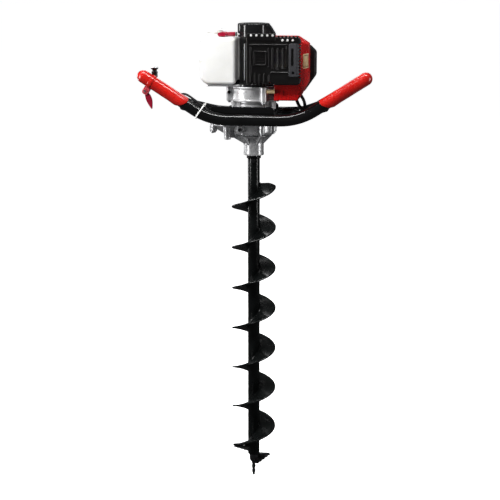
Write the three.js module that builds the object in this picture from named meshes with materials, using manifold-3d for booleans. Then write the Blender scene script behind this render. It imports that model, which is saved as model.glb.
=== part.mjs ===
// Petrol ice fishing auger: a two-stroke power head on a reduction gearbox, carried by a wide
// handlebar, driving a helical bit. Millimetres, +Z up. The origin is on the bit's axis, at the
// height of the handlebar's straight tubes. +X is to the operator's throttle-free hand, and the
// throttle hand is at -X.
import * as THREE from "three";
import { mergeVertices } from "three/addons/utils/BufferGeometryUtils.js";
import Module from "manifold-3d";

const wasm = await Module();
wasm.setup();

// ---- Driving dimensions ----

const GAP = 0.3; // between two pieces that touch
const RUN = 0.6; // round a shaft that turns in a bore

const BIT = {
  radius: 50,
  pitch: 94,
  tubeRadius: 13.5,
  wall: 3,
  top: -86,
  bottom: -808,
  flightTop: -151,
  flightBottom: -768,
  flightThickness: 4,
  pilotTip: -842,
};
const CUTTER = { thickness: 4, slope: THREE.MathUtils.degToRad(26), leading: -21, trailing: 13 };
const BAR = {
  tube: 12.7,
  wall: 1.8,
  frontY: -60,
  rearY: 60,
  rearZ: 5,
  centreX: 7,
  bendX: 98,
  rearBendX: 95,
  gripEndX: 243,
  slope: THREE.MathUtils.degToRad(32.6),
  rearJoinX: 153,
};
const TUBE_MESH = { sides: 10, steps: 16 };
const GRIP = { radius: 14.4, length: 91 };
const TRAIN = {
  firstModule: 1.35,
  secondModule: 1.575,
  pinionTeeth: 10,
  firstTeeth: 60,
  secondTeeth: 50,
};
const TRAIN_DISTANCE = (TRAIN.firstModule * (TRAIN.pinionTeeth + TRAIN.firstTeeth)) / 2;
const BOX = {
  radius: 45,
  wall: 2.5,
  split: -12,
  floor: -42,
  roof: 18.4,
  neckRadius: 42,
  neckBosses: 46,
  neckTop: 37.7,
};
const PLATE = { edge: 50.5, thickness: 4, lipTop: 27.8, shelfInner: 22 };
const HUB = { radius: 23, bottom: -84, bearing: 18.6 };
const CLUTCH = { bottom: 38, top: 71, radius: 49, wall: 3.5, drum: 36, lining: 32 };
const CASE = { radius: 32, bottom: 71.3, top: 150, cavity: 27.5, rodGroove: 30.2, padX: 32 };
const CRANK = { z: 124, throw: 16, web: 25, journal: 8, rodLength: 52, halfRod: 6 };
const BORE = { radius: 21, chamber: 85, headX: 92, finHalf: 39, finCount: 5 };
const FAN = { bottom: 150.3, top: 177.7, radius: 27 };
const STARTER = { bottom: 178, top: 207, radius: 35.5, shoulderX: 47, ropeY: -18, ropeZ: 184 };
const GUARD = {
  left: -7.5,
  right: 109.5,
  front: -78,
  back: -50,
  bottom: 79,
  top: 181.5,
  wall: 3,
  combRight: 56,
  combTop: 189,
};
const COWL = { right: 121, frontRight: 109, front: -46, back: 46, top: 178, bottom: 42, wall: 2.5 };
const TANK = { left: -113, right: -35, halfY: 50, bottom: 76, top: 178, wall: 2.5 };
const FILTER = { front: 76, back: 112, right: 131, left: 48, top: 154, bottom: 50 };

const COLOURS = {
  blackPaint: [0x0b0b0d, 0.28, 0.3],
  blackPlastic: [0x101113, 0.45, 0],
  redPlastic: [0xb01217, 0.3, 0],
  gripRed: [0xd01d14, 0.42, 0],
  aluminium: [0xb9bcc0, 0.38, 1],
  steel: [0x8d9095, 0.35, 1],
  bitBlack: [0x0d0f10, 0.4, 0.2],
  tankWhite: [0xf1f1ee, 0.4, 0],
  rubber: [0x111111, 0.8, 0],
  foam: [0x2b2b2c, 0.95, 0],
  muffler: [0x4a4745, 0.6, 1],
};
const MATERIALS = {};
for (const [name, [color, roughness, metalness]] of Object.entries(COLOURS)) {
  MATERIALS[name] = new THREE.MeshStandardMaterial({ color, roughness, metalness });
}

// ---- Solids from three.js geometry ----

// A closed geometry as a solid with its faces pointing out.
function solid(geometry) {
  const bare = geometry.clone();
  bare.deleteAttribute("normal");
  bare.deleteAttribute("uv");
  const merged = mergeVertices(bare, 1e-4);
  const index = merged.index.array;
  const triangles = [];
  for (let i = 0; i < index.length; i += 3) {
    const [a, b, c] = [index[i], index[i + 1], index[i + 2]];
    if (a !== b && b !== c && c !== a) triangles.push(a, b, c);
  }
  const build = (list) =>
    new wasm.Manifold(
      new wasm.Mesh({
        numProp: 3,
        vertProperties: merged.attributes.position.array,
        triVerts: new Uint32Array(list),
      }),
    );
  const made = build(triangles);
  return made.volume() < 0 ? build(triangles.reverse()) : made;
}

const join = (first, ...rest) => rest.reduce((all, next) => all.add(next), first);
const cut = (first, ...rest) => rest.reduce((left, next) => left.subtract(next), first);

function geometryOf(made) {
  const { vertProperties, triVerts } = made.getMesh();
  const geometry = new THREE.BufferGeometry();
  geometry.setAttribute("position", new THREE.BufferAttribute(vertProperties, 3));
  geometry.setIndex(new THREE.BufferAttribute(triVerts, 1));
  const flat = geometry.toNonIndexed();
  flat.computeVertexNormals();
  return flat;
}

// A box between two values on each axis.
function block([x0, x1], [y0, y1], [z0, z1]) {
  const geometry = new THREE.BoxGeometry(x1 - x0, y1 - y0, z1 - z0);
  return solid(geometry.translate((x0 + x1) / 2, (y0 + y1) / 2, (z0 + z1) / 2));
}

// A round bar, or a cone frustum, along an axis. centre holds the other two coordinates in order.
function rod(axis, radius, from, to, centre = [0, 0], sides = 20, endRadius = radius) {
  const geometry = new THREE.CylinderGeometry(endRadius, radius, to - from, sides);
  const middle = (from + to) / 2;
  const [u, v] = centre;
  if (axis === "x") geometry.rotateZ(-Math.PI / 2).translate(middle, u, v);
  if (axis === "y") geometry.translate(u, middle, v);
  if (axis === "z") geometry.rotateX(Math.PI / 2).translate(u, v, middle);
  return solid(geometry);
}

// A ring or solid of revolution about Z. profile is [radius, height] pairs.
function turned(profile, sides = 28, [x, y] = [0, 0]) {
  const points = profile.map(([r, z]) => new THREE.Vector2(r, z));
  if (profile[0][0] > 0) points.push(points[0].clone());
  return solid(new THREE.LatheGeometry(points, sides).rotateX(Math.PI / 2).translate(x, y, 0));
}

const ring = (outer, inner, z0, z1, sides, centre) =>
  turned([[inner, z0], [outer, z0], [outer, z1], [inner, z1]], sides, centre);

function polygon(points) {
  return new THREE.Shape(points.map(([u, v]) => new THREE.Vector2(u, v)));
}

// An outline in the XY plane, raised from z0 to z1.
function prism(points, z0, z1) {
  const geometry = new THREE.ExtrudeGeometry(polygon(points), { depth: z1 - z0, bevelEnabled: false });
  return solid(geometry.translate(0, 0, z0));
}

// An outline in the XZ plane, running from y0 to y1.
function prismY(points, y0, y1) {
  const geometry = new THREE.ExtrudeGeometry(polygon(points), { depth: y1 - y0, bevelEnabled: false });
  return solid(geometry.rotateX(Math.PI / 2).translate(0, y1, 0));
}

// A rectangle in the XZ plane with round corners, running from y0 to y1.
function roundedY([x0, x1], [z0, z1], radius, y0, y1, steps = 4) {
  const corners = [[x1, z0, -90], [x1, z1, 0], [x0, z1, 90], [x0, z0, 180]];
  const points = corners.flatMap(([x, z, start]) =>
    Array.from({ length: steps + 1 }, (_, i) => {
      const angle = THREE.MathUtils.degToRad(start + (90 * i) / steps);
      const centreX = x === x1 ? x1 - radius : x0 + radius;
      const centreZ = z === z1 ? z1 - radius : z0 + radius;
      return [centreX + radius * Math.cos(angle), centreZ + radius * Math.sin(angle)];
    }),
  );
  return prismY(points, y0, y1);
}

function circlePoints(radius, sides) {
  return Array.from({ length: sides }, (_, i) => {
    const angle = (2 * Math.PI * i) / sides;
    return new THREE.Vector2(radius * Math.cos(angle), radius * Math.sin(angle));
  });
}

// A tube along a path, with a bore where bore is more than 0.
function pipe(path, radius, { bore = 0, sides = 12, steps = 24 } = {}) {
  const section = new THREE.Shape(circlePoints(radius, sides));
  if (bore > 0) section.holes.push(new THREE.Path(circlePoints(bore, sides)));
  return solid(new THREE.ExtrudeGeometry(section, { extrudePath: path, steps, bevelEnabled: false }));
}

// Straight runs between corners, with each corner rounded over a distance on both sides of it.
function bentPath(corners, rounding) {
  const points = corners.map((corner) => new THREE.Vector3(...corner));
  const path = new THREE.CurvePath();
  let from = points[0];
  for (let i = 1; i < points.length - 1; i += 1) {
    const before = points[i].clone().lerp(points[i - 1], rounding / points[i].distanceTo(points[i - 1]));
    const after = points[i].clone().lerp(points[i + 1], rounding / points[i].distanceTo(points[i + 1]));
    path.add(new THREE.LineCurve3(from, before));
    path.add(new THREE.QuadraticBezierCurve3(before, points[i], after));
    from = after;
  }
  path.add(new THREE.LineCurve3(from, points[points.length - 1]));
  return path;
}

const smoothPath = (points) =>
  new THREE.CatmullRomCurve3(points.map((point) => new THREE.Vector3(...point)));

// Places the same shape at several angles about Z.
function aroundZ(radius, degrees, make) {
  return degrees.map((degree) => {
    const angle = THREE.MathUtils.degToRad(degree);
    return make(radius * Math.cos(angle), radius * Math.sin(angle), angle);
  });
}

// ---- Scene graph ----

const auger = new THREE.Group();
auger.name = "ice_auger";

function add(name, made, material, parent = auger) {
  const mesh = new THREE.Mesh(geometryOf(made), MATERIALS[material]);
  mesh.name = name;
  parent.add(mesh);
  return mesh;
}

// ---- Bit ----

// A straight strip wound into a right-hand helix about Z.
function helixStrip({ inner, outer, top, bottom, pitch, thickness, startAngle, segmentsPerTurn }) {
  const turns = (top - bottom) / pitch;
  const segments = Math.round(turns * segmentsPerTurn);
  const geometry = new THREE.BoxGeometry(outer - inner, thickness, turns, 1, 1, segments);
  const position = geometry.getAttribute("position");
  for (let i = 0; i < position.count; i += 1) {
    const along = position.getZ(i) / turns + 0.5;
    const angle = startAngle - along * turns * 2 * Math.PI;
    const radius = (inner + outer) / 2 + position.getX(i);
    const height = top - along * turns * pitch + position.getY(i);
    position.setXYZ(i, radius * Math.cos(angle), radius * Math.sin(angle), height);
  }
  return solid(geometry);
}

function buildBit() {
  const { tubeRadius, wall, top, bottom } = BIT;
  const collarBottom = top - 18;
  const boltZ = top - 9;
  const boltRadius = 3;
  const tube = turned(
    [
      [tubeRadius - wall, bottom],
      [tubeRadius, bottom],
      [tubeRadius, collarBottom - 2],
      [tubeRadius + 2.5, collarBottom],
      [tubeRadius + 2.5, top],
      [tubeRadius - wall, top],
    ],
    16,
  );
  const boltHole = rod("y", boltRadius + GAP, -20, 20, [0, boltZ], 12);
  add("bit_tube", cut(tube, boltHole), "bitBlack");

  const bolt = join(
    rod("y", boltRadius, -17, 19, [0, boltZ], 12),
    rod("y", 5.5, -20, -16.6, [0, boltZ], 6),
    rod("y", 5.5, 16.6, 21, [0, boltZ], 6),
  );
  add("bit_cross_bolt", bolt, "steel");

  // The flight's lower end is in the XZ plane at -X, where the left cutter is bolted on.
  const turns = (BIT.flightTop - BIT.flightBottom) / BIT.pitch;
  const flight = helixStrip({
    inner: tubeRadius + GAP,
    outer: BIT.radius,
    top: BIT.flightTop,
    bottom: BIT.flightBottom,
    pitch: BIT.pitch,
    thickness: BIT.flightThickness,
    startAngle: Math.PI + turns * 2 * Math.PI,
    segmentsPerTurn: 16,
  });
  add("bit_flight", flight, "bitBlack");

  // Two cutter plates, half a turn apart, that slope down and forward in the cutting direction.
  const { thickness, slope, leading, trailing } = CUTTER;
  for (const [name, turn, height, reach] of [
    ["cutter_blade_left", Math.PI, BIT.flightBottom - 8, 47],
    ["cutter_blade_right", 0, bottom + 11, 38],
  ]) {
    const inside = tubeRadius - 2;
    const outline = [[inside, leading + 5], [reach, leading], [reach - 3, trailing], [inside, trailing]];
    const plate = solid(
      new THREE.ExtrudeGeometry(polygon(outline), { depth: thickness, bevelEnabled: false })
        .translate(0, 0, -thickness / 2)
        .rotateX(slope)
        .rotateZ(turn)
        .translate(0, 0, height),
    );
    add(name, cut(plate, rod("z", tubeRadius + GAP, bottom - 20, top, [0, 0], 24)), "steel");
  }

  // The pilot point is a flat bar twisted about the axis and tapered to its tip, on a round plug.
  const length = bottom - BIT.pilotTip;
  const twist = 1.5 * 2 * Math.PI;
  const geometry = new THREE.BoxGeometry(9, 3.4, length, 1, 1, 18).translate(0, 0, -length / 2);
  const position = geometry.getAttribute("position");
  for (let i = 0; i < position.count; i += 1) {
    const depth = -position.getZ(i) / length;
    const width = 1 - 0.85 * depth;
    const angle = depth * twist;
    const [x, y] = [position.getX(i) * width, position.getY(i) * width];
    const turnedX = x * Math.cos(angle) - y * Math.sin(angle);
    const turnedY = x * Math.sin(angle) + y * Math.cos(angle);
    position.setXYZ(i, turnedX, turnedY, bottom - GAP - depth * length);
  }
  const plug = rod("z", tubeRadius - wall - GAP, bottom - 1, bottom + 20, [0, 0], 16);
  add("pilot_point", join(solid(geometry), plug), "steel");
}

// ---- Gearbox ----

// A spur gear with involute flanks about Z. phase turns it by a part of a tooth.
function gear(teeth, module, z0, z1, { phase = 0, bore = 0, steps = 2, sides = 16 } = {}) {
  const pressure = THREE.MathUtils.degToRad(25);
  const involute = (angle) => Math.tan(angle) - angle;
  const pitch = (teeth * module) / 2;
  const base = pitch * Math.cos(pressure);
  const tip = pitch + 0.8 * module;
  const root = pitch - 1.05 * module;
  const backlash = 0.16 * module;
  const half = Math.PI / (2 * teeth) - backlash / (2 * pitch);
  const start = Math.max(base, root);
  const halfAngle = (radius) => half + involute(pressure) - involute(Math.acos(base / radius));
  const flank = Array.from({ length: steps }, (_, i) => {
    const radius = start + ((tip - start) * i) / (steps - 1);
    return [radius, halfAngle(radius)];
  });
  if (root < start - 0.05) flank.unshift([root, halfAngle(start)]);
  const outline = [];
  for (let tooth = 0; tooth < teeth; tooth += 1) {
    const centre = ((tooth + phase) * 2 * Math.PI) / teeth;
    const rising = flank.map(([radius, angle]) => [radius, centre - angle]);
    const falling = flank.map(([radius, angle]) => [radius, centre + angle]).reverse();
    for (const [radius, angle] of [...rising, ...falling]) {
      outline.push([radius * Math.cos(angle), radius * Math.sin(angle)]);
    }
  }
  const wheel = prism(outline, z0, z1);
  return bore > 0 ? cut(wheel, rod("z", bore, z0 - 1, z1 + 1, [0, 0], sides)) : wheel;
}

const shifted = (made, x) => solid(geometryOf(made).translate(x, 0, 0));

// The gearbox outline: round over the output gear, and round over the first-stage wheel beside it.
function boxOutline(radius, steps = 8) {
  const arc = (x, start) =>
    Array.from({ length: steps + 1 }, (_, i) => {
      const angle = THREE.MathUtils.degToRad(start + (180 * i) / steps);
      return [x + radius * Math.cos(angle), radius * Math.sin(angle)];
    });
  return [...arc(0, -90), ...arc(-TRAIN_DISTANCE, 90)];
}

const NECK_BOSS_ANGLES = [205, 335, 25, 155];

function buildGearbox() {
  const inner = BOX.radius - BOX.wall;
  const lugs = (z0, z1) => [
    ...aroundZ(BOX.radius + 1, [-60, -15, 15, 60], (x, y) => rod("z", 5, z0, z1, [x, y], 8)),
    ...aroundZ(BOX.radius + 1, [165, 195], (x, y) => rod("z", 5, z0, z1, [x - TRAIN_DISTANCE, y], 8)),
  ];
  const hubTop = BOX.floor + 2;
  const shaftBore = 10 + RUN;

  // Lower half: the bowl round the output gear, the arm below the intermediate shaft, and the hub.
  const ribs = aroundZ(1, [0, 90, 180, 270], (x, y, angle) => {
    const [inside, outside, ribTop] = [HUB.radius - 3, BOX.radius - 4, BOX.floor + 3];
    const web = prismY([[inside, ribTop], [outside, ribTop], [inside, HUB.bottom + 16]], -2.5, 2.5);
    return solid(geometryOf(web).rotateZ(angle));
  });
  const armEnd = -TRAIN_DISTANCE - 37;
  const armOutline = [[armEnd, BOX.split], [armEnd, -20], [-45, -49], [-15, -49], [-15, BOX.split]];
  const lower = join(
    prism(boxOutline(BOX.radius), BOX.split - 5, BOX.split),
    rod("z", BOX.radius, BOX.floor, BOX.split, [0, 0], 24),
    prismY(armOutline, -17, 17),
    rod("z", HUB.radius, HUB.bottom, hubTop, [0, 0], 20),
    ...ribs,
    ...lugs(BOX.split - 13, BOX.split),
  );
  const lowerHousing = cut(
    lower,
    rod("z", inner, BOX.floor + 3, 0, [0, 0], 24),
    rod("z", 11.5, -37, 0, [-TRAIN_DISTANCE, 0], 16),
    rod("z", 5 + RUN, -42, 0, [-TRAIN_DISTANCE, 0], 16),
    rod("z", shaftBore + 2, HUB.bottom - 1, 0, [0, 0], 20),
    rod("z", HUB.bearing + GAP, HUB.bottom - 1, -58, [0, 0], 20),
  );
  add("gearbox_housing", lowerHousing, "aluminium");

  // Upper half: the roof over the first-stage wheel, a web between the stages, and the neck.
  const bottom = BOX.split + GAP;
  const webTop = bottom + 4;
  const upper = join(
    prism(boxOutline(BOX.radius), bottom, BOX.roof),
    rod("z", BOX.neckRadius, BOX.roof - 1, BOX.neckTop, [0, 0], 24),
    ...lugs(bottom, bottom + 10),
    ...aroundZ(BOX.neckBosses, NECK_BOSS_ANGLES, (x, y) =>
      rod("z", 6, BOX.roof - 1, BOX.neckTop, [x, y], 8),
    ),
  );
  const cover = cut(
    upper,
    prism(boxOutline(inner), webTop, BOX.roof - 7),
    rod("z", 13, bottom - 1, webTop + 1, [-TRAIN_DISTANCE, 0], 16),
    rod("z", 5 + RUN, 0, BOX.roof - 2, [-TRAIN_DISTANCE, 0], 16),
    rod("z", 8.5, bottom - 1, webTop + 1, [0, 0], 20),
    rod("z", 7.5, 0, BOX.neckTop + 1, [0, 0], 20),
    rod("z", 14 + GAP, 26, BOX.neckTop + 1, [0, 0], 20),
  );
  add("gearbox_cover", cover, "aluminium");

  add("output_bearing", ring(HUB.bearing, shaftBore, -74, -58.5, 20), "steel");
  add("output_seal", ring(HUB.bearing, shaftBore, HUB.bottom + 0.5, -74.5, 20), "rubber");
  add("input_bearing", ring(14, 6 + RUN, 26.3, 37, 20), "steel");

  // Output shaft and gear. The shaft's lower end goes into the bit's socket.
  const shaft = join(
    rod("z", 10, -150, -40, [0, 0], 20),
    rod("z", 7.5, -41, -9.5, [0, 0], 20),
  );
  const socketHole = rod("y", 3 + GAP, -20, 20, [0, BIT.top - 9], 12);
  add("output_shaft", cut(shaft, socketHole), "steel");
  add(
    "output_gear",
    gear(TRAIN.secondTeeth, TRAIN.secondModule, -36, -22, { phase: 0.5, bore: 7.5 + GAP }),
    "steel",
  );

  // Intermediate shaft with its pinion, and the first-stage wheel on it.
  const lay = join(
    gear(TRAIN.pinionTeeth, TRAIN.secondModule, -36, -18, {}),
    rod("z", 5, -41, 16, [0, 0], 16),
  );
  add("intermediate_pinion_shaft", shifted(lay, -TRAIN_DISTANCE), "steel");
  const wheel = gear(TRAIN.firstTeeth, TRAIN.firstModule, -4, 6, { phase: 0.5, bore: 5 + GAP });
  add("intermediate_gear", shifted(wheel, -TRAIN_DISTANCE), "steel");

  // Input pinion shaft and the clutch drum that turns it.
  const input = join(
    gear(TRAIN.pinionTeeth, TRAIN.firstModule, -5, 8, {}),
    rod("z", 6, 7, 46, [0, 0], 16),
    rod("z", 4.5, -7, -4, [0, 0], 16),
  );
  add("input_pinion_shaft", input, "steel");
  const drum = cut(
    join(
      rod("z", CLUTCH.drum, 42.5, 64, [0, 0], 24),
      rod("z", 10, 39, 43, [0, 0], 16),
    ),
    rod("z", CLUTCH.drum - 3, 46, 65, [0, 0], 24),
    rod("z", 6 + GAP, 38, 47, [0, 0], 16),
  );
  add("clutch_drum", drum, "steel");
}

// ---- Handlebar ----

const armLength = (BAR.gripEndX - BAR.bendX) / Math.cos(BAR.slope);
const armHeight = (x) => (x - BAR.bendX) * Math.tan(BAR.slope);

function barPaths() {
  const end = BAR.gripEndX - 3;
  const side = (x, y, z, sign) => [BAR.centreX + sign * x, y, z];
  const front = bentPath(
    [
      side(end, BAR.frontY, armHeight(end), -1),
      side(BAR.bendX, BAR.frontY, 0, -1),
      side(BAR.bendX, BAR.frontY, 0, 1),
      side(end, BAR.frontY, armHeight(end), 1),
    ],
    42,
  );
  const rear = bentPath(
    [
      side(BAR.rearJoinX, BAR.frontY, armHeight(BAR.rearJoinX), -1),
      side(BAR.rearBendX, BAR.rearY, BAR.rearZ, -1),
      side(BAR.rearBendX, BAR.rearY, BAR.rearZ, 1),
      side(BAR.rearJoinX, BAR.frontY, armHeight(BAR.rearJoinX), 1),
    ],
    34,
  );
  return { front, rear };
}

// A frame at one arm's bend. Its X axis runs outwards along the right arm, or inwards on the left.
function armGroup(sign) {
  const group = new THREE.Group();
  group.position.set(BAR.centreX + sign * BAR.bendX, BAR.frontY, 0);
  group.rotation.y = -sign * BAR.slope;
  auger.add(group);
  return group;
}

function gripSolid(sign) {
  const { radius, length } = GRIP;
  const start = armLength - length;
  const dome = Array.from({ length: 4 }, (_, i) => {
    const angle = (Math.PI / 2) * (i / 4);
    return [radius * Math.cos(angle), armLength + radius * Math.sin(angle)];
  });
  const tip = [0, armLength + radius];
  const outside = [[0, start], [radius - 1, start], [radius, start + 2], ...dome, tip];
  const bore = rod("z", BAR.tube + GAP, start - 1, armLength - 1, [0, 0], 20);
  const grip = cut(turned(outside, 20), bore);
  return solid(geometryOf(grip).rotateY((sign * Math.PI) / 2));
}

function buildHandlebar() {
  const { front, rear } = barPaths();
  const bore = BAR.tube - BAR.wall;
  const clearance = pipe(front, BAR.tube + GAP, TUBE_MESH);
  add("handlebar_front_tube", pipe(front, BAR.tube, { ...TUBE_MESH, bore }), "blackPaint");
  const rearTube = cut(pipe(rear, BAR.tube, { ...TUBE_MESH, bore }), clearance);
  add("handlebar_rear_tube", rearTube, "blackPaint");

  // One folded plate on each tube: its lip stands against the tube, and its shelf carries the
  // gearbox by the roof, cut round the neck and its bosses.
  const rearClearance = pipe(rear, BAR.tube + GAP, TUBE_MESH);
  const { edge, thickness, lipTop, shelfInner } = PLATE;
  const shelf = [BOX.roof + GAP, BOX.roof + GAP + thickness];
  for (const [name, sign, lipX, shelfX] of [
    ["mount_plate_front", -1, [-88, 50], [-40, 46]],
    ["mount_plate_rear", 1, [-30, 50], [-30, 46]],
  ]) {
    const across = (inner, outer) => [sign * inner, sign * outer].sort((a, b) => a - b);
    const plate = cut(
      join(
        block(lipX, across(edge - thickness, edge), [7, lipTop]),
        block(shelfX, across(shelfInner, edge - 1), shelf),
      ),
      rod("z", BOX.neckRadius + GAP, 0, 40, [0, 0], 32),
      ...aroundZ(BOX.neckBosses, NECK_BOSS_ANGLES, (x, y) => rod("z", 6 + RUN, 0, 40, [x, y], 12)),
      clearance,
      rearClearance,
    );
    add(name, plate, "blackPaint");
  }

  const leftArm = armGroup(-1);
  const rightArm = armGroup(1);
  add("left_grip", gripSolid(-1), "gripRed", leftArm);
  add("right_grip", gripSolid(1), "gripRed", rightArm);
  buildThrottle(leftArm);
}

// Throttle and stop controls, in the left arm's frame: -X runs out along the grip, +Z is its top.
function buildThrottle(arm) {
  const clear = rod("x", GRIP.radius + GAP, -armLength - 40, 0, [0, 0], 20);
  const pivotX = -armLength + 20;
  const pivotZ = -24;
  const clamp = cut(
    join(
      rod("x", GRIP.radius + 3, pivotX - 6, pivotX + 8, [0, 0], 20),
      block([pivotX - 6, pivotX + 8], [-7, 7], [-32, -14]),
    ),
    clear,
    block([pivotX - 7, pivotX + 9], [-3.5, 3.5], [-33, -19]),
    rod("y", 2.3, -8, 8, [pivotX, pivotZ], 12),
  );
  add("throttle_bracket", clamp, "redPlastic", arm);
  add("trigger_pin", rod("y", 2, -8.5, 8.5, [pivotX, pivotZ], 12), "steel", arm);

  // The trigger hangs from its pin and leans in, so that a finger pulls it up to the grip.
  const hang = THREE.MathUtils.degToRad(-38);
  const lever = [[0, 4], [-4, 0], [0, -4], [12, -4.5], [27, -6.5], [38, -4.5], [42, 0], [37, 3], [24, 4]];
  const outline = lever.map(([along, across]) => [
    pivotX + along * Math.cos(hang) - across * Math.sin(hang),
    pivotZ + along * Math.sin(hang) + across * Math.cos(hang),
  ]);
  const trigger = cut(prismY(outline, -3, 3), rod("y", 2.6, -8, 8, [pivotX, pivotZ], 12));
  add("throttle_trigger", trigger, "redPlastic", arm);

  // The stop switch stands upright behind the grip's end, in a saddle over the bracket.
  const upright = (made) =>
    solid(geometryOf(made).rotateY(-BAR.slope).translate(pivotX - 10.8, 15, 26.4));
  const body = cut(
    upright(cut(rod("z", 6.8, -19, -7, [0, 0], 14), rod("z", 3.4, -16, -6, [0, 0], 12))),
    clear,
    rod("x", GRIP.radius + 3 + GAP, pivotX - 6 - GAP, pivotX + 8 + GAP, [0, 0], 20),
  );
  add("stop_switch_body", body, "blackPlastic", arm);
  const button = join(
    rod("z", 2.8, -12, 0, [0, 0], 12),
    rod("z", 6.5, -3, 1, [0, 0], 14, 8.5),
    rod("z", 8.5, 0.5, 3.5, [0, 0], 14, 7),
  );
  add("stop_button", upright(button), "steel", arm);
}

// ---- Clutch ----

function buildClutch() {
  const { bottom, top, radius, wall } = CLUTCH;
  const lugAngles = [192, 300, 20, 110];
  const housing = cut(
    join(
      rod("z", radius, bottom, top, [0, 0], 28),
      ...aroundZ(radius + 5, lugAngles, (x, y) => rod("z", 7, bottom, top, [x, y], 8)),
    ),
    rod("z", radius - wall, bottom + 3, top + 1, [0, 0], 28),
    rod("z", 16, bottom - 1, bottom + 4, [0, 0], 20),
  );
  add("clutch_housing", housing, "aluminium");

  // Each shoe is a half ring, thrown out against the drum by the crankshaft's turning.
  for (const [name, sign] of [["clutch_shoe_left", -1], ["clutch_shoe_right", 1]]) {
    const half = cut(
      ring(CLUTCH.lining - 1.6, 17, 48, 62, 24),
      block([-sign * 40 - 40 + sign * 3.2, -sign * 40 + 40 + sign * 3.2], [-40, 40], [40, 70]),
    );
    add(name, half, "steel");
  }
}

// ---- Engine ----

function buildCrank() {
  const { z, web, journal, halfRod } = CRANK;
  const lowerWeb = [z - halfRod - 12.6, z - halfRod - 0.6];
  const upperWeb = [z + halfRod + 0.6, z + halfRod + 12.6];
  const lower = join(
    rod("z", web, ...lowerWeb, [0, 0], 20),
    rod("z", journal, 47, lowerWeb[0] + 1, [0, 0], 20),
    rod("z", 15.5, 49, 61, [0, 0], 20),
  );
  add("crank_lower_half", lower, "steel");
  const upper = join(
    rod("z", web, ...upperWeb, [0, 0], 20),
    rod("z", journal, upperWeb[1] - 1, 165, [0, 0], 20),
    rod("z", 5, 164, 176, [0, 0], 16),
  );
  add("crank_upper_half", upper, "steel");
  add("crankpin", rod("z", 4.5, z - halfRod, z + halfRod, [CRANK.throw, 0], 16), "steel");

  const pinX = CRANK.throw + CRANK.rodLength;
  const [z0, z1] = [z - halfRod + 0.3, z + halfRod - 0.3];
  const connectingRod = cut(
    join(
      rod("z", 8.6, z0, z1, [CRANK.throw, 0], 20),
      rod("z", 8, z0, z1, [pinX, 0], 20),
      block([CRANK.throw + 3, pinX - 3], [-4, 4], [z - 4, z + 4]),
    ),
    rod("z", 4.5 + GAP, z0 - 1, z1 + 1, [CRANK.throw, 0], 16),
    rod("z", 5 + RUN, z0 - 1, z1 + 1, [pinX, 0], 16),
  );
  add("connecting_rod", connectingRod, "steel");
  add("wrist_pin", rod("z", 5, z - 17, z + 17, [pinX, 0], 16), "steel");

  const piston = cut(
    rod("x", BORE.radius - 0.6, pinX - 9, pinX + 15, [0, z], 24),
    rod("x", BORE.radius - 4, pinX - 10, pinX + 10, [0, z], 24),
    rod("z", 5 + GAP, z - 30, z + 30, [pinX, 0], 16),
  );
  add("piston", piston, "aluminium");
}

function buildEngine() {
  const { z } = CRANK;
  const axis = [0, z];

  // Crankcase: a tall round case on a foot flange, with a flat pad for the cylinder.
  const shell = turned(
    [
      [0, CASE.bottom],
      [44, CASE.bottom],
      [44, CASE.bottom + 4],
      [CASE.radius + 4, CASE.bottom + 6],
      [CASE.radius, CASE.bottom + 16],
      [CASE.radius, CASE.top],
      [0, CASE.top],
    ],
    24,
  );
  const crankcase = cut(
    join(shell, block([10, CASE.padX], [-28, 28], [z - 25.7, z + 25.7])),
    rod("z", CASE.cavity, 102, 146, [0, 0], 24),
    rod("z", CASE.rodGroove, z - CRANK.halfRod - 1, z + CRANK.halfRod + 1, [0, 0], 24),
    rod("z", CRANK.journal + RUN, CASE.bottom - 1, CASE.top + 1, [0, 0], 20),
    rod("x", BORE.radius + 1, 0, CASE.padX + 1, axis, 20),
    block([5, CASE.padX + 1], [-25.5, 25.5], [z - CRANK.halfRod - 1, z + CRANK.halfRod + 1]),
  );
  add("crankcase", crankcase, "blackPaint");

  // Cylinder with square cooling fins round a bore along X.
  const flangeX = CASE.padX + GAP;
  const finPitch = (BORE.headX - 44) / (BORE.finCount - 1);
  const fins = Array.from({ length: BORE.finCount }, (_, i) => {
    const x = 42 + i * finPitch;
    const half = BORE.finHalf;
    return block([x, x + 2.2], [-half, half], [z - half, z + half]);
  });
  const cylinder = cut(
    join(
      block([flangeX, flangeX + 5], [-28, 28], [z - 25.7, z + 25.7]),
      rod("x", BORE.radius + 5, flangeX, BORE.headX, axis, 12),
      block([50, 76], [-42, 42], [z - 11, z + 11]),
      ...fins,
    ),
    rod("x", BORE.radius, flangeX - 1, BORE.chamber, axis, 24),
    rod("x", 6, BORE.chamber - 1, 100, axis, 16),
    rod("y", 7, -50, 50, [63, z], 14),
  );
  add("cylinder", cylinder, "aluminium");

  const plug = join(
    rod("x", 5.6, BORE.chamber + 1, BORE.headX + 3, axis, 16),
    rod("x", 9, BORE.headX + 2.7, BORE.headX + 7, axis, 6),
    rod("x", 4.6, BORE.headX + 6, 109, axis, 14),
  );
  add("spark_plug", plug, "steel");
  const lead = smoothPath([
    [112, 0, z],
    [113, 6, z + 16],
    [100, 14, z + 43],
    [70, 16, z + 46],
    [42, 16, z + 43],
  ]);
  const cap = cut(
    join(rod("x", 7.5, 101, 116, axis, 14), pipe(lead, 3, { sides: 8, steps: 14 })),
    rod("x", 4.6 + GAP, 100, 110, axis, 14),
  );
  add("plug_cap", cap, "rubber");

  add("ignition_coil", block([33.5, 41.5], [6, 26], [156, 172]), "blackPlastic");

  buildCrank();
  buildFanAndStarter();
  buildExhaust();
  buildCowl();
  buildTank();
  buildIntake();
}

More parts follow.
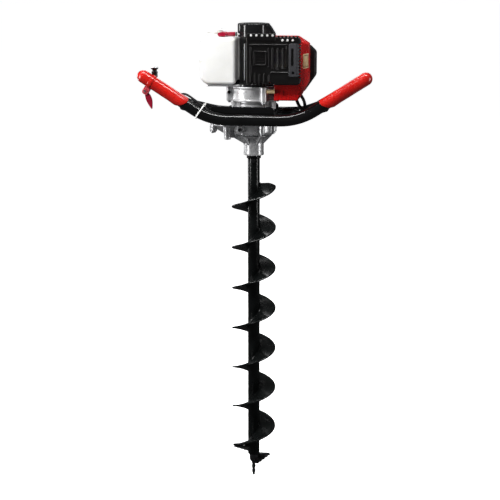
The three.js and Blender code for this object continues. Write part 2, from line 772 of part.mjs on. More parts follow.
function buildFanAndStarter() {
  const { bottom, top, radius } = FAN;
  const blades = aroundZ(0, [0, 40, 80, 120, 160, 200, 240, 280, 320], (x, y, angle) =>
    solid(geometryOf(block([12, radius], [-1, 1], [bottom + 7, bottom + 18])).rotateZ(angle)),
  );
  const flywheel = cut(
    join(
      rod("z", radius - 1, bottom + 3, bottom + 8, [0, 0], 24),
      rod("z", 13, bottom + 3, bottom + 16, [0, 0], 20),
      ...blades,
    ),
    rod("z", CRANK.journal + GAP, bottom, bottom + 15, [0, 0], 20),
    rod("z", 5 + GAP, bottom, top, [0, 0], 16),
  );
  add("flywheel_fan", flywheel, "aluminium");

  // The fan housing is open towards the cylinder, where the air goes.
  const housing = cut(
    rod("z", CASE.radius, bottom, top, [0, 0], 24),
    rod("z", CASE.radius - 2.2, bottom + 2, top + 1, [0, 0], 24),
    rod("z", CRANK.journal + 2, bottom - 1, top, [0, 0], 20),
    block([18, 40], [-20, 20], [bottom + 2, top + 1]),
  );
  add("fan_housing", housing, "blackPlastic");

  // Starter cover: a flat-topped cup with a sloping shoulder over the air passage.
  const { ropeY, ropeZ, shoulderX } = STARTER;
  const [coverBottom, coverTop, coverRadius] = [STARTER.bottom, STARTER.top, STARTER.radius];
  const shoulder = [
    [20, coverTop - 2],
    [coverRadius - 2, coverTop - 4],
    [shoulderX, coverBottom],
    [20, coverBottom],
  ];
  const cover = join(
    cut(
      join(rod("z", coverRadius, coverBottom, coverTop, [0, 0], 28), prismY(shoulder, -20, 20)),
      rod("z", coverRadius - 2.4, coverBottom - 1, coverTop - 3, [0, 0], 28),
      rod("x", 2.6, -50, 0, [ropeY, ropeZ], 10),
    ),
    rod("z", 4.6, coverBottom + 1, coverTop - 2, [0, 0], 14),
  );
  add("starter_cover", cover, "blackPlastic");

  const pulley = turned(
    [
      [4.6 + RUN, ropeZ - 4.5],
      [20.5, ropeZ - 4.5],
      [20.5, ropeZ - 2.3],
      [15.5, ropeZ - 2.3],
      [15.5, ropeZ + 2.3],
      [20.5, ropeZ + 2.3],
      [20.5, ropeZ + 14],
      [4.6 + RUN, ropeZ + 14],
    ],
    16,
  );
  add("starter_pulley", pulley, "blackPlastic");

  // The pull handle, with the straight run of rope that its first pull draws out.
  const handle = join(
    rod("x", 1.5, -60, 24, [ropeY, ropeZ], 8),
    rod("x", 4.2, -58, -36.5, [ropeY, ropeZ], 10),
    roundedY([-78, -57], [ropeZ - 4.6, ropeZ + 4.6], 4, ropeY - 22, ropeY + 22, 3),
  );
  add("starter_handle", handle, "redPlastic");
}

function buildExhaust() {
  const { z } = CRANK;
  const wallGap = 3;
  const silencer = cut(
    join(
      roundedY([40, 104], [z - 32, z + 32], 6, -73, -43, 2),
      rod("z", 7, z - 38, z - 20, [90, -58], 12),
    ),
    roundedY([40 + wallGap, 104 - wallGap], [z - 29, z + 29], 4, -73 + wallGap, -43 - wallGap, 2),
    rod("y", 7, -50, -42, [63, z], 14),
    rod("z", 5, z - 39, z - 25, [90, -58], 12),
  );
  add("muffler", silencer, "muffler");

  // The guard is an open-backed cage with ribs, slots, round vents along its top and a toothed hem.
  const { left, right, front, back, bottom, top, wall, combRight, combTop } = GUARD;
  const shell = cut(
    roundedY([left, right], [bottom, top], 8, front, back, 3),
    roundedY([left + wall, right - wall], [bottom + wall, top - wall], 6, front + wall, back + 1, 3),
  );
  const slots = Array.from({ length: 5 }, (_, i) => {
    const x = left + 34 + i * 12;
    return block([x, x + 5], [front - 1, front + wall + 1], [bottom + 34, top - 24]);
  });
  const comb = block([left + 2, combRight], [front, front + wall], [top - 8, combTop]);
  const vent = (x, z) => rod("y", 2.6, front - 1, front + wall + 1, [x, z], 6);
  const vents = [
    ...[3, 15, 27, 38.5, 50].map((x) => vent(x, combTop - 4)),
    ...[71, 82, 93].map((x) => vent(x, top - 6.5)),
  ];
  const hem = Array.from({ length: 8 }, (_, i) => {
    const x = left + 10 + i * 12.5;
    return block([x, x + 5], [front - 1, back - 8], [bottom - 1, bottom + wall + 1]);
  });
  const cage = cut(join(shell, comb), ...slots, ...vents, ...hem);
  add("muffler_guard", cage, "blackPlastic");
}

// The red shroud round the cylinder, with its lower box over the clutch housing's right side.
function buildCowl() {
  const { right, frontRight, front, back, top, bottom, wall } = COWL;
  const outline = (inset) => [
    [34, top - inset],
    [right - 25, top - inset],
    [right - inset, top - 16 - inset / 2],
    [right - inset, 78 + inset / 2],
    [right - 20 - inset / 2, bottom + inset],
    [58 + inset, bottom + inset],
    [58 + inset, 80],
    [34, 80 + inset],
  ];
  // The right side leans in from the middle to the front.
  const lean = (inset) => {
    const corners = [[frontRight, front], [right, 0], [right + 9, 0], [right + 9, front - 9]];
    const outside = [...corners, [frontRight - 2.35, front - 9]].map(([x, y]) => [x - inset, y]);
    return prism(outside, bottom - 1, top + 1);
  };
  const shell = cut(
    cut(prismY(outline(0), front, back), lean(0)),
    cut(prismY(outline(wall), front + wall, back - wall), lean(wall)),
    block([20, 37], [front - 1, back + 1], [bottom, top - 0.1]),
    block([36, 105], [front - 1, front + wall + 1], [84, 166]),
    block([44, 100], [back - wall - 1, back + 1], [100, 150]),
    block([20, 60], [front + wall, back - wall], [60, top - wall]),
  );
  add("engine_cowl", shell, "redPlastic");
}

function buildTank() {
  const { left, right, halfY, bottom, top, wall } = TANK;
  const filler = [-90, 22];
  const neckTop = top + 7;
  const outer = cut(
    roundedY([left, right], [bottom, top], 20, -halfY, halfY),
    rod("z", CASE.radius + 1, bottom - 1, top + 1),
  );
  const insideX = [left + wall, right - 5];
  const inner = roundedY(insideX, [bottom + wall, top - wall], 17, wall - halfY, halfY - wall);
  const tank = cut(
    join(outer, rod("z", 15, top - 1, neckTop, filler, 20)),
    inner,
    rod("z", 12.5, top - 8, neckTop + 1, filler, 20),
  );
  add("fuel_tank", tank, "tankWhite");
  const cap = join(
    rod("z", 17.5, neckTop + GAP, neckTop + 8, filler, 24),
    rod("z", 11.8, top - 4, neckTop + 1, filler, 20),
  );
  add("fuel_cap", cap, "tankWhite");

  const plate = cut(
    block([-102, -24], [-42, 42], [CASE.bottom, CASE.bottom + 4]),
    rod("z", 44 + GAP, CASE.bottom - 1, CASE.bottom + 5, [0, 0], 32),
  );
  add("tank_bracket", plate, "blackPaint");
}

function buildIntake() {
  const { z } = CRANK;
  const port = (from, to) => rod("y", 7, from, to, [63, z], 14);
  const carburettor = cut(
    join(
      block([50, 78], [42.3, 75.5], [z - 13, z + 13]),
      rod("z", 11, z - 22, z - 12, [64, 64], 16),
      rod("z", 3, z + 12, z + 22, [64, 64], 12),
    ),
    port(42, 76),
  );
  add("carburettor", carburettor, "aluminium");
  const arm = cut(
    join(
      rod("z", 6, z + 15, z + 19, [64, 64], 14),
      block([44, 64], [61, 67], [z + 15, z + 19]),
    ),
    rod("z", 3 + RUN, z + 14, z + 20, [64, 64], 12),
  );
  add("throttle_arm", arm, "steel");

  const { front, back, right, left, top, bottom } = FILTER;
  const outline = (inset) => [
    [left + inset, bottom + 18],
    [left + 18, bottom + inset],
    [right - 26, bottom + inset],
    [right - inset, bottom + 37],
    [right - inset, top - 14],
    [right - 14, top - inset],
    [left + 12, top - inset],
    [left + inset, top - 12],
  ];
  const cover = cut(
    join(
      prismY(outline(0), front, back),
      rod("x", 3, left - 8, left + 2, [94, 110], 12),
    ),
    prismY(outline(2.5), front + 2.5, back - 2.5),
    port(front - 1, front + 4),
  );
  add("air_filter_cover", cover, "blackPlastic");
  add("air_filter_element", prismY(outline(4), front + 12, back - 6), "foam");
  const choke = cut(
    join(rod("x", 6, left - 6, left - 2, [94, 110], 14), block([left - 6, left - 2], [91, 97], [110, 132])),
    rod("x", 3 + RUN, left - 10, left, [94, 110], 12),
  );
  add("choke_lever", choke, "blackPlastic");

  const fuelLine = smoothPath([
    [-62, TANK.halfY + GAP, 92],
    [-62, 54, 92],
    [-58, 60, 90],
    [-36, 63, 83],
    [-4, 63, 80],
    [26, 64, 88],
    [38, 64, 108],
    [44, 64, 113],
    [49.6, 64, 113],
  ]);
  add("fuel_line", pipe(fuelLine, 2.5, { sides: 8, steps: 15 }), "rubber");
}

// The throttle cable runs from the trigger's bracket along the bar and round to the carburettor.
function buildCable() {
  // A point beside the left arm: its distance out from the bend, behind the tube, and above it.
  const onArm = (along, behind, above) => [
    BAR.centreX - BAR.bendX - along * Math.cos(BAR.slope) + above * Math.sin(BAR.slope),
    BAR.frontY + behind,
    along * Math.sin(BAR.slope) + above * Math.cos(BAR.slope),
  ];
  const route = smoothPath([
    onArm(armLength - 28.4, 17.6, -4),
    onArm(armLength - 50, 18, -2),
    onArm(90, 18.5, 6),
    onArm(74, 10, 17),
    onArm(50, 8, 17.5),
    onArm(24, 12, 15),
    [-93, -44, 15],
    [-80, -38, 22],
    [-66, -28, 22],
    [-57, -6, 21.6],
    [-54, 20, 21.6],
    [-46, 44, 22],
    [-40, 60, 24],
    [-36, 71, 38],
    [-22, 73, 62],
    [14, 74, 92],
    [27, 71, 120],
    [38, 68, 139],
  ]);
  add("throttle_cable", pipe(route, 2.5, { sides: 8, steps: 28 }), "rubber");
}

buildBit();
buildGearbox();
buildHandlebar();
buildClutch();
buildEngine();
buildCable();

export default auger;
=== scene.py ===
"""Looks of a petrol ice auger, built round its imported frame: fine meshes, materials, light and camera."""

import random
from math import atan2, cos, hypot, pi, radians, sin, tan

import bmesh
import bpy
from mathutils import Matrix, Vector


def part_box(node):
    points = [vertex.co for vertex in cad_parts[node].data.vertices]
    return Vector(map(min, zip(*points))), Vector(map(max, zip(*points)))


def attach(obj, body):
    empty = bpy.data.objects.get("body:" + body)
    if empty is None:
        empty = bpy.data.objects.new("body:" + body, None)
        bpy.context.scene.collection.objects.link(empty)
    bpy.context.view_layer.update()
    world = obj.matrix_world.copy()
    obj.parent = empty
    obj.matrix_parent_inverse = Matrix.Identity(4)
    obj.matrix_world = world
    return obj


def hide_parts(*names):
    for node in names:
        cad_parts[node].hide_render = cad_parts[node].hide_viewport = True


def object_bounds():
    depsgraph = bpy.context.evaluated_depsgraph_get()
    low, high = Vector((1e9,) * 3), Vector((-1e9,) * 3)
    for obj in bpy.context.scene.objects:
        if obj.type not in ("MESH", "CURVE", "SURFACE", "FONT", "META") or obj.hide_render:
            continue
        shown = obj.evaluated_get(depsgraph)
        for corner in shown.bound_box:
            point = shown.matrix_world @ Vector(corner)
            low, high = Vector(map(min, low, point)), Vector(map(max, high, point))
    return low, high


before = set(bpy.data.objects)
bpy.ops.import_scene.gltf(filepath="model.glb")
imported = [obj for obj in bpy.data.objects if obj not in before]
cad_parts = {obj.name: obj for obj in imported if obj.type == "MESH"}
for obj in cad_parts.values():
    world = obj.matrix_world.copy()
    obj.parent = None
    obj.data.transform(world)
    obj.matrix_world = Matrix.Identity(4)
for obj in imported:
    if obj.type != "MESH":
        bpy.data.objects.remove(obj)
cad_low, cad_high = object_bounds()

MM = 0.001
GRAPH = bpy.context.evaluated_depsgraph_get
rng = random.Random(7)

# ---- Driving dimensions, in millimetres, as the frame has them ----

TUBE = 12.7
BAR_CENTRE = 7
BAR_Y, REAR_Z = 60, 5
FRONT_BEND, REAR_BEND, REAR_JOIN, BAR_END = 98, 95, 153, 240
SLOPE = radians(32.6)
ARM = (243 - FRONT_BEND) / cos(SLOPE)
TRAIN_X = -47.25
BOX_RADIUS = 45
HUB_RADIUS = 23
CASE_RADIUS = 32
CYLINDER_Z = 124
BIT_RADIUS, BIT_TUBE, PITCH = 50, 13.5, 94
BIT_TOP, BIT_BOTTOM = -86, -808
FLIGHT_TOP, FLIGHT_BOTTOM = -151, -768


def node_box(name):
    """Lowest and highest corner of a CAD node in millimetres, as two lists."""
    low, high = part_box(name)
    return [v / MM for v in low], [v / MM for v in high]


# ---- Camera and light ----


def make_camera():
    """The photograph's view: a long lens, a little to the right and above."""
    distance, azimuth, height, pitch = 3.15, radians(7), 0.373, radians(12.1)
    camera = bpy.data.objects.new("camera", bpy.data.cameras.new("camera"))
    bpy.context.scene.collection.objects.link(camera)
    camera.location = (distance * sin(azimuth), -distance * cos(azimuth), height)
    camera.rotation_euler = (pi / 2 - pitch, 0, azimuth)
    camera.data.sensor_width = 36
    camera.data.lens = 102.2
    camera.data.shift_x = -0.0076
    bpy.context.scene.camera = camera


def area_light(name, place, size, power, mirrored=True):
    """A rectangular light that faces the origin. One that isn't mirrored leaves no highlight."""
    data = bpy.data.lights.new(name, "AREA")
    data.shape = "RECTANGLE"
    data.size, data.size_y = size
    data.energy = power
    light = bpy.data.objects.new(name, data)
    bpy.context.scene.collection.objects.link(light)
    light.location = place
    light.rotation_euler = (-Vector(place)).to_track_quat("-Z", "Y").to_euler()
    light.visible_glossy = mirrored


def make_studio():
    """A soft key from the front, with narrow strips above and at both sides for the highlights."""
    area_light("key", (-0.8, -1.8, 1.9), (0.9, 0.9), 70, mirrored=False)
    area_light("top_strip", (-0.1, -0.58, 2.35), (2.6, 0.12), 46)
    area_light("left_strip", (-1.77, -0.94, 0.15), (0.2, 1.3), 18)
    area_light("left_back_strip", (-1.8, 0.88, -0.1), (0.14, 1.4), 8)
    area_light("right_strip", (1.96, -0.42, -0.1), (0.14, 1.4), 11)
    area_light("back_rim", (-0.3, 1.8, 1.3), (1.6, 0.3), 8)
    area_light("back_fill", (0.7, 2.2, 1.1), (1.2, 1.2), 40, mirrored=False)
    world = bpy.data.worlds.new("surround")
    bpy.context.scene.world = world
    world.use_nodes = True
    background = world.node_tree.nodes["Background"]
    background.inputs["Color"].default_value = (0.95, 0.97, 1, 1)
    background.inputs["Strength"].default_value = 0.06
    bpy.context.scene.view_settings.view_transform = "Standard"


def make_floor(material):
    """A bright, pale floor just under the pilot point, which rises far away into a round wall."""
    z = cad_low.z - 0.004
    profile = [(0, z), (40, z), (52, z + 4), (58, z + 14), (60, 60)]
    bm = bmesh.new()
    verts = [bm.verts.new((x, 0, up)) for x, up in profile]
    edges = [bm.edges.new(pair) for pair in zip(verts, verts[1:])]
    bmesh.ops.spin(bm, geom=verts + edges, axis=(0, 0, 1), cent=(0, 0, 0), angle=2 * pi, steps=64)
    bmesh.ops.remove_doubles(bm, verts=bm.verts, dist=0.001)
    mesh = bpy.data.meshes.new("floor")
    bm.to_mesh(mesh)
    bm.free()
    floor = bpy.data.objects.new("floor", mesh)
    bpy.context.scene.collection.objects.link(floor)
    mesh.materials.append(material)
    floor.visible_glossy = floor.visible_diffuse = False


# ---- Materials ----


class Shader:
    """A material with a Principled shader and short calls for the nodes round it."""

    def __init__(self, name, **sockets):
        self.material = bpy.data.materials.new(name)
        self.material.use_nodes = True
        self.tree = self.material.node_tree
        self.shader = self.tree.nodes["Principled BSDF"]
        self.set(**sockets)
        self.place = self.tree.nodes.new("ShaderNodeTexCoord").outputs["Object"]
        self.height = None

    def node(self, kind, settings=None, **sockets):
        made = self.tree.nodes.new("ShaderNode" + kind)
        for key, value in (settings or {}).items():
            setattr(made, key, value)
        for socket, value in sockets.items():
            self.put(made.inputs[socket.replace("_", " ")], value)
        return made

    def put(self, socket, value):
        if isinstance(value, bpy.types.NodeSocket):
            self.tree.links.new(value, socket)
        else:
            socket.default_value = value

    def noise(self, per_metre, detail=3.0, rough=0.55, stretch=None):
        place = self.place
        if stretch:
            mapping = self.node("Mapping", Vector=place)
            mapping.inputs["Scale"].default_value = stretch
            place = mapping.outputs[0]
        made = self.node("TexNoise", Vector=place, Scale=per_metre, Detail=detail, Roughness=rough)
        return made.outputs["Fac"]

    def ramp(self, value, low, high, start=0.35, end=0.65):
        """value from start to end becomes low to high, which are both numbers or both colours."""
        if isinstance(low, (int, float)):
            made = self.node("MapRange", Value=value)
            for key, number in zip(("From Min", "From Max", "To Min", "To Max"), (start, end, low, high)):
                made.inputs[key].default_value = number
            return made.outputs["Result"]
        made = self.node("ValToRGB", Fac=value)
        for element, position, colour in zip(made.color_ramp.elements, (start, end), (low, high)):
            element.position = position
            element.color = (*colour, 1)
        return made.outputs["Color"]

    def cloud(self, per_metre, low, high, detail=3.0, rough=0.55, span=(0.35, 0.65)):
        """Noise that drifts from low to high, which are both numbers or both colours."""
        return self.ramp(self.noise(per_metre, detail, rough), low, high, *span)

    def mix(self, factor, first, second):
        made = self.node("Mix", {"data_type": "RGBA"})
        self.put(made.inputs[0], factor)
        for socket, colour in zip((made.inputs[6], made.inputs[7]), (first, second)):
            self.put(socket, colour if isinstance(colour, bpy.types.NodeSocket) else (*colour, 1))
        return made.outputs[2]

    def edges(self, start=0.52, end=0.6):
        """1 on convex edges, which wear first and which some materials lighten as a painted highlight."""
        return self.ramp(self.node("NewGeometry").outputs["Pointiness"], 0.0, 1.0, start, end)

    def times(self, first, second):
        made = self.node("Math", {"operation": "MULTIPLY"})
        self.put(made.inputs[0], first)
        self.put(made.inputs[1], second)
        return made.outputs[0]

    def bump(self, value, depth, strength=1.0):
        """Raises the surface by value times depth in metres, on top of the bumps given before."""
        made = self.node("Bump", Height=value, Distance=depth, Strength=strength)
        if self.height:
            self.tree.links.new(self.height, made.inputs["Normal"])
        self.height = made.outputs["Normal"]
        self.put(self.shader.inputs["Normal"], self.height)

    def set(self, **sockets):
        for socket, value in sockets.items():
            self.put(self.shader.inputs[socket.replace("_", " ")], value)
        return self


def scaled(colour, by):
    return [c * by for c in colour]


def gloss_paint(name, colour, rough=0.16, wear=(0.10, 0.10, 0.105)):
    """Baked gloss paint with a slight orange peel, fine handling marks and worn edges."""
    s = Shader(name, Coat_Weight=0.35, Coat_Roughness=0.08)
    base = s.cloud(14, scaled(colour, 0.8), scaled(colour, 1.35))
    worn = s.times(s.edges(0.56, 0.66), s.cloud(180, 0.0, 1.0, span=(0.45, 0.6)))
    s.set(Base_Color=s.mix(worn, base, wear), Roughness=s.cloud(40, rough * 0.8, rough * 1.7, 5))
    s.bump(s.noise(420, 2), 0.000006)
    s.bump(s.ramp(s.noise(60, 6, 0.7, (1, 1, 14)), 0.0, 1.0, 0.62, 0.7), 0.000006, 0.5)
    return s.material


def moulded_plastic(name, colour, rough, grain=900, depth=0.00005, edge_scuff_and_highlight=0.03):
    """Moulded plastic: a fine spark-eroded grain, slow colour drift and paler edges, partly scuffing and
    partly a painted highlight.
    """
    s = Shader(name)
    base = s.cloud(22, scaled(colour, 0.82), scaled(colour, 1.25), 4)
    pale = [c + edge_scuff_and_highlight for c in colour]
    # Convex edges are lightened: partly scuffing, partly a painted highlight that picks out ribs and
    # bevels.
    s.set(Base_Color=s.mix(s.times(s.edges(0.53, 0.62), 0.5), base, pale))
    s.set(Roughness=s.cloud(65, rough * 0.85, rough * 1.25, 5))
    s.bump(s.noise(grain, 2), depth)
    s.bump(s.noise(35, 1), 0.00005, 0.35)
    return s.material


def cast_metal(name, colour, rough=0.36):
    """Die-cast and tumbled aluminium: mottled, pitted, brighter on its edges."""
    s = Shader(name, Metallic=0.6)
    mottled = s.cloud(75, scaled(colour, 0.72), colour, 6, 0.65, (0.3, 0.7))
    bright = [min(1, c) for c in scaled(colour, 1.12)]
    s.set(Base_Color=s.mix(s.edges(0.52, 0.6), mottled, bright))
    s.set(Roughness=s.cloud(120, rough * 0.75, rough * 1.4, 5))
    s.bump(s.noise(650, 3, 0.6), 0.00012)
    s.bump(s.noise(140, 2), 0.00025, 0.5)
    return s.material


def worked_metal(name, colour, rough=0.28, stretch=(1, 1, 30), per_metre=90):
    """Turned or ground metal with fine lines along the tool's path."""
    s = Shader(name, Metallic=1.0)
    lines = s.noise(per_metre, 4, 0.6, stretch)
    stained = s.cloud(45, scaled(colour, 0.75), colour, 5)
    s.set(Base_Color=stained, Roughness=s.ramp(lines, rough * 0.7, rough * 1.4))
    s.bump(lines, 0.00004)
    return s.material


def bit_paint(name):
    """Sprayed black enamel on rolled steel, rubbed to bare steel along its edges."""
    s = Shader(name, Specular_IOR_Level=0.25, Coat_Weight=0.12, Coat_Roughness=0.12)
    base = s.cloud(30, (0.0022, 0.0026, 0.0026), (0.006, 0.007, 0.007), 5)
    worn = s.times(s.edges(0.6, 0.7), s.cloud(130, 0.0, 1.0, 6, 0.7, (0.5, 0.62)))
    s.set(Base_Color=s.mix(worn, base, (0.16, 0.16, 0.165)), Metallic=s.times(worn, 0.8))
    s.set(Roughness=s.cloud(55, 0.16, 0.3, 6, 0.65))
    s.bump(s.noise(300, 3), 0.0001)
    s.bump(s.noise(28, 2), 0.00012, 0.4)
    return s.material


def vinyl(name):
    """Dipped red vinyl: soft gloss, slow waves in its skin and deeper colour in places."""
    s = Shader(name, Coat_Weight=1.0, Coat_Roughness=0.2)
    s.set(Base_Color=s.cloud(26, (0.42, 0.005, 0.003), (0.60, 0.012, 0.006), 4, span=(0.3, 0.7)))
    s.set(Roughness=s.cloud(90, 0.22, 0.36, 4))
    s.bump(s.noise(60, 2), 0.00008, 0.4)
    s.bump(s.noise(1100, 2), 0.000004)
    return s.material


def clear_white(name):
    """Blow-moulded white polyethylene, which lets a little light in."""
    s = Shader(name, Subsurface_Weight=0.45, Coat_Weight=0.15, Coat_Roughness=0.2)
    s.set(Subsurface_Radius=(0.012, 0.012, 0.011))
    s.set(Base_Color=s.cloud(18, (0.86, 0.86, 0.83), (0.93, 0.93, 0.91)))
    s.set(Roughness=s.cloud(60, 0.28, 0.4, 4))
    s.bump(s.noise(380, 3), 0.00008)
    s.bump(s.noise(24, 2), 0.0005, 0.5)
    return s.material


def rubber(name, colour=(0.014, 0.014, 0.015), rough=0.55):
    """Matt rubber with a faint bloom."""
    s = Shader(name, Sheen_Weight=0.15, Sheen_Roughness=0.5)
    s.set(Base_Color=s.cloud(70, scaled(colour, 0.7), scaled(colour, 1.6), 4))
    s.set(Roughness=s.cloud(160, rough * 0.8, rough * 1.2, 4))
    s.bump(s.noise(800, 2), 0.00006)
    return s.material


def foam(name):
    """Open-celled black foam, darker in its pores as painted shade."""
    s = Shader(name)
    cells = s.node("TexVoronoi", Vector=s.place, Scale=700.0).outputs["Distance"]
    # The pits of the cells are coloured darkest: painted shade in the pores.
    s.set(Base_Color=s.ramp(cells, (0.008, 0.008, 0.009), (0.05, 0.05, 0.052), 0.1, 0.6), Roughness=0.95)
    s.bump(cells, 0.0006)
    return s.material


def heated_steel(name):
    """Aluminised sheet steel with straw and blue heat stains."""
    s = Shader(name, Metallic=1.0)
    heat = s.cloud(16, 0.0, 1.0, 4, span=(0.4, 0.62))
    s.set(Base_Color=s.mix(heat, (0.30, 0.27, 0.24), (0.13, 0.12, 0.14)))
    s.set(Roughness=s.cloud(110, 0.4, 0.7, 5))
    s.bump(s.noise(500, 3), 0.0001)
    return s.material


def label_foil(name):
    """Blank gold foil, with no lettering."""
    s = Shader(name, Coat_Weight=0.4, Coat_Roughness=0.2)
    s.set(Base_Color=s.cloud(110, (0.90, 0.60, 0.27), (1.0, 0.84, 0.55)), Roughness=s.cloud(200, 0.25, 0.4))
    s.bump(s.noise(900, 2), 0.00003)
    return s.material


def floor_paint(name):
    """A white ground that gives off most of its own light."""
    s = Shader(name, Roughness=0.8, Emission_Strength=0.95, Emission_Color=(1, 1, 1, 1))
    s.set(Base_Color=s.cloud(3, (0.90, 0.90, 0.90), (0.95, 0.95, 0.95)))
    return s.material


M = {
    "bar": gloss_paint("black_gloss_paint", (0.003, 0.003, 0.0032), 0.12),
    "case": gloss_paint("black_case_paint", (0.004, 0.004, 0.0045), 0.17, (0.013, 0.013, 0.014)),
    "shiny_black": moulded_plastic(
        "black_gloss_plastic", (0.0035, 0.0035, 0.004), 0.15, 500, 0.00003, 0.01
    ),
    "black": moulded_plastic("black_grained_plastic", (0.0036, 0.0032, 0.0032), 0.36, edge_scuff_and_highlight=0.02),
    "grey": moulded_plastic("grey_black_plastic", (0.040, 0.040, 0.044), 0.4, edge_scuff_and_highlight=0.06),
    "red": moulded_plastic("red_gloss_plastic", (0.56, 0.003, 0.003), 0.24, 500, 0.00003, 0.01),
    "crimson": moulded_plastic("crimson_plastic", (0.26, 0.006, 0.024), 0.3, edge_scuff_and_highlight=0.02),
    "pink": moulded_plastic("faded_red_plastic", (0.50, 0.055, 0.075), 0.36, edge_scuff_and_highlight=0.08),
    "grip": vinyl("red_vinyl"),
    "cast": cast_metal("cast_aluminium", (0.86, 0.86, 0.87)),
    # The lower casting's aluminium is a darker copy of the upper one's: painted shade for the shadow under
    # the engine and tubes.
    "shade_darkened_cast": cast_metal("cast_aluminium_darkened_for_shade", (0.72, 0.72, 0.73), 0.3),
    "steel": worked_metal("ground_steel", (0.55, 0.56, 0.58)),
    "dark_steel": worked_metal("blackened_steel", (0.10, 0.10, 0.105), 0.36),
    "zinc": worked_metal("zinc_screws", (0.72, 0.73, 0.75), 0.3, (20, 20, 1), 200),
    "brass": worked_metal("brass_sleeve", (0.72, 0.50, 0.22), 0.3),
    "bit": bit_paint("bit_enamel"),
    "white": clear_white("white_polyethylene"),
    "rubber": rubber("black_rubber"),
    "nylon": moulded_plastic("white_nylon", (0.82, 0.82, 0.80), 0.4, edge_scuff_and_highlight=0.05),
    "foam": foam("filter_foam"),
    "heat": heated_steel("heat_stained_steel"),
    "foil": label_foil("gold_foil"),
    "floor": floor_paint("pale_floor"),
}

# ---- Mesh tools: shapes are made in millimetres and scaled when a piece is finished ----


def link(mesh):
    """A new object for a mesh."""
    made = bpy.data.objects.new("shape", mesh)
    bpy.context.scene.collection.objects.link(made)
    return made


def from_bmesh(bm):
    """A new object for a bmesh, with its faces turned outwards."""
    bmesh.ops.recalc_face_normals(bm, faces=bm.faces)
    mesh = bpy.data.meshes.new("shape")
    bm.to_mesh(mesh)
    bm.free()
    return link(mesh)


def apply_modifiers(obj):
    """Replaces an object's mesh by what its modifiers make of it."""
    mesh = bpy.data.meshes.new_from_object(obj.evaluated_get(GRAPH()))
    obj.modifiers.clear()
    old, obj.data = obj.data, mesh
    bpy.data.meshes.remove(old)
    return obj


def remove(obj):
    mesh = obj.data
    bpy.data.objects.remove(obj)
    bpy.data.meshes.remove(mesh)


def polar(radius, angle, centre=(0, 0)):
    return centre[0] + radius * cos(angle), centre[1] + radius * sin(angle)


def steps_round(count):
    """count angles in even steps round a circle."""
    return [2 * pi * i / count for i in range(count)]


def circle(radius, centre=(0, 0), sides=48):
    return [polar(radius, angle, centre) for angle in steps_round(sides)]


def around(radius, degrees, centre=(0, 0)):
    return [polar(radius, radians(d), centre) for d in degrees]


def point_on(axis, u, v, along):
    """A point at a distance along a named axis, with u and v in the other two axes, in order."""
    return {"x": (along, u, v), "y": (u, along, v), "z": (u, v, along)}[axis]


def skin(bm, rings, closed=False):
    """A shape with faces from each ring of vertices to the next, and capped unless it is closed.

    A ring can also be a single vertex.
    """
    pairs = list(zip(rings, rings[1:]))
    if closed:
        pairs.append((rings[-1], rings[0]))
    else:
        for ring in (rings[0], rings[-1]):
            if len(ring) > 1:
                bm.faces.new(ring)
    for low, high in pairs:
        count = max(len(low), len(high))
        for i in range(count):
            j = (i + 1) % count
            corners = (low[i % len(low)], low[j % len(low)], high[j % len(high)], high[i % len(high)])
            face = list(dict.fromkeys(corners))
            if len(face) > 2:
                bm.faces.new(face)
    return from_bmesh(bm)


def lathe(profile, centre=(0, 0), sides=72, axis="z"):
    """A solid turned about an axis. profile is (radius, along) pairs, closed through the axis."""
    bm = bmesh.new()
    rings = []
    for radius, along in profile:
        outline = circle(radius, centre, sides) if radius else [centre]
        rings.append([bm.verts.new(point_on(axis, u, v, along)) for u, v in outline])
    return skin(bm, rings, closed=profile[0][0] > 0)


def rod(axis, radius, start, end, centre=(0, 0), end_radius=None, sides=48, soft=0.0):
    """A round bar along an axis, with its rims rounded over soft."""
    last = radius if end_radius is None else end_radius
    if soft:
        profile = [(0, start), (radius - soft, start), (radius - soft * 0.3, start + soft * 0.3)]
        profile += [(radius, start + soft), (last, end - soft), (last - soft * 0.3, end - soft * 0.3)]
        profile += [(last - soft, end), (0, end)]
    else:
        profile = [(0, start), (radius, start), (last, end), (0, end)]
    return lathe(profile, centre, sides, axis)


def tube(axis, outer, inner, start, end, centre=(0, 0), sides=64):
    """A round bar with a hole along it."""
    return lathe([(inner, start), (outer, start), (outer, end), (inner, end)], centre, sides, axis)


def prism(points, axis, start, end):
    """A closed outline raised along an axis. Its points are in the other two axes, in order."""
    bm = bmesh.new()
    return skin(bm, [[bm.verts.new(point_on(axis, u, v, w)) for u, v in points] for w in (start, end)])


def slab(x, y, radius, axis, start, end, steps=8):
    """A rectangle with round corners, raised along an axis."""
    return prism(rounded(x, y, radius, steps), axis, start, end)


def block(x, y, z, round_by=0.0, segments=3):
    """A box between two values on each axis, with its edges rounded by round_by."""
    made = prism([(x[0], y[0]), (x[1], y[0]), (x[1], y[1]), (x[0], y[1])], "z", z[0], z[1])
    return bevelled(made, round_by, segments) if round_by else made


def rounded(x, y, radius, steps=8):
    """The outline of a rectangle with round corners. radius is one number or one for each corner."""
    radii = radius if isinstance(radius, (list, tuple)) else [radius] * 4
    corners = [(x[1], y[0], -90), (x[1], y[1], 0), (x[0], y[1], 90), (x[0], y[0], 180)]
    points = []
    for (u, v, start), r in zip(corners, radii):
        centre = (u - r if u == x[1] else u + r, v - r if v == y[1] else v + r)
        points += [polar(r, radians(start + 90 * i / steps), centre) for i in range(steps + 1)]
    return points


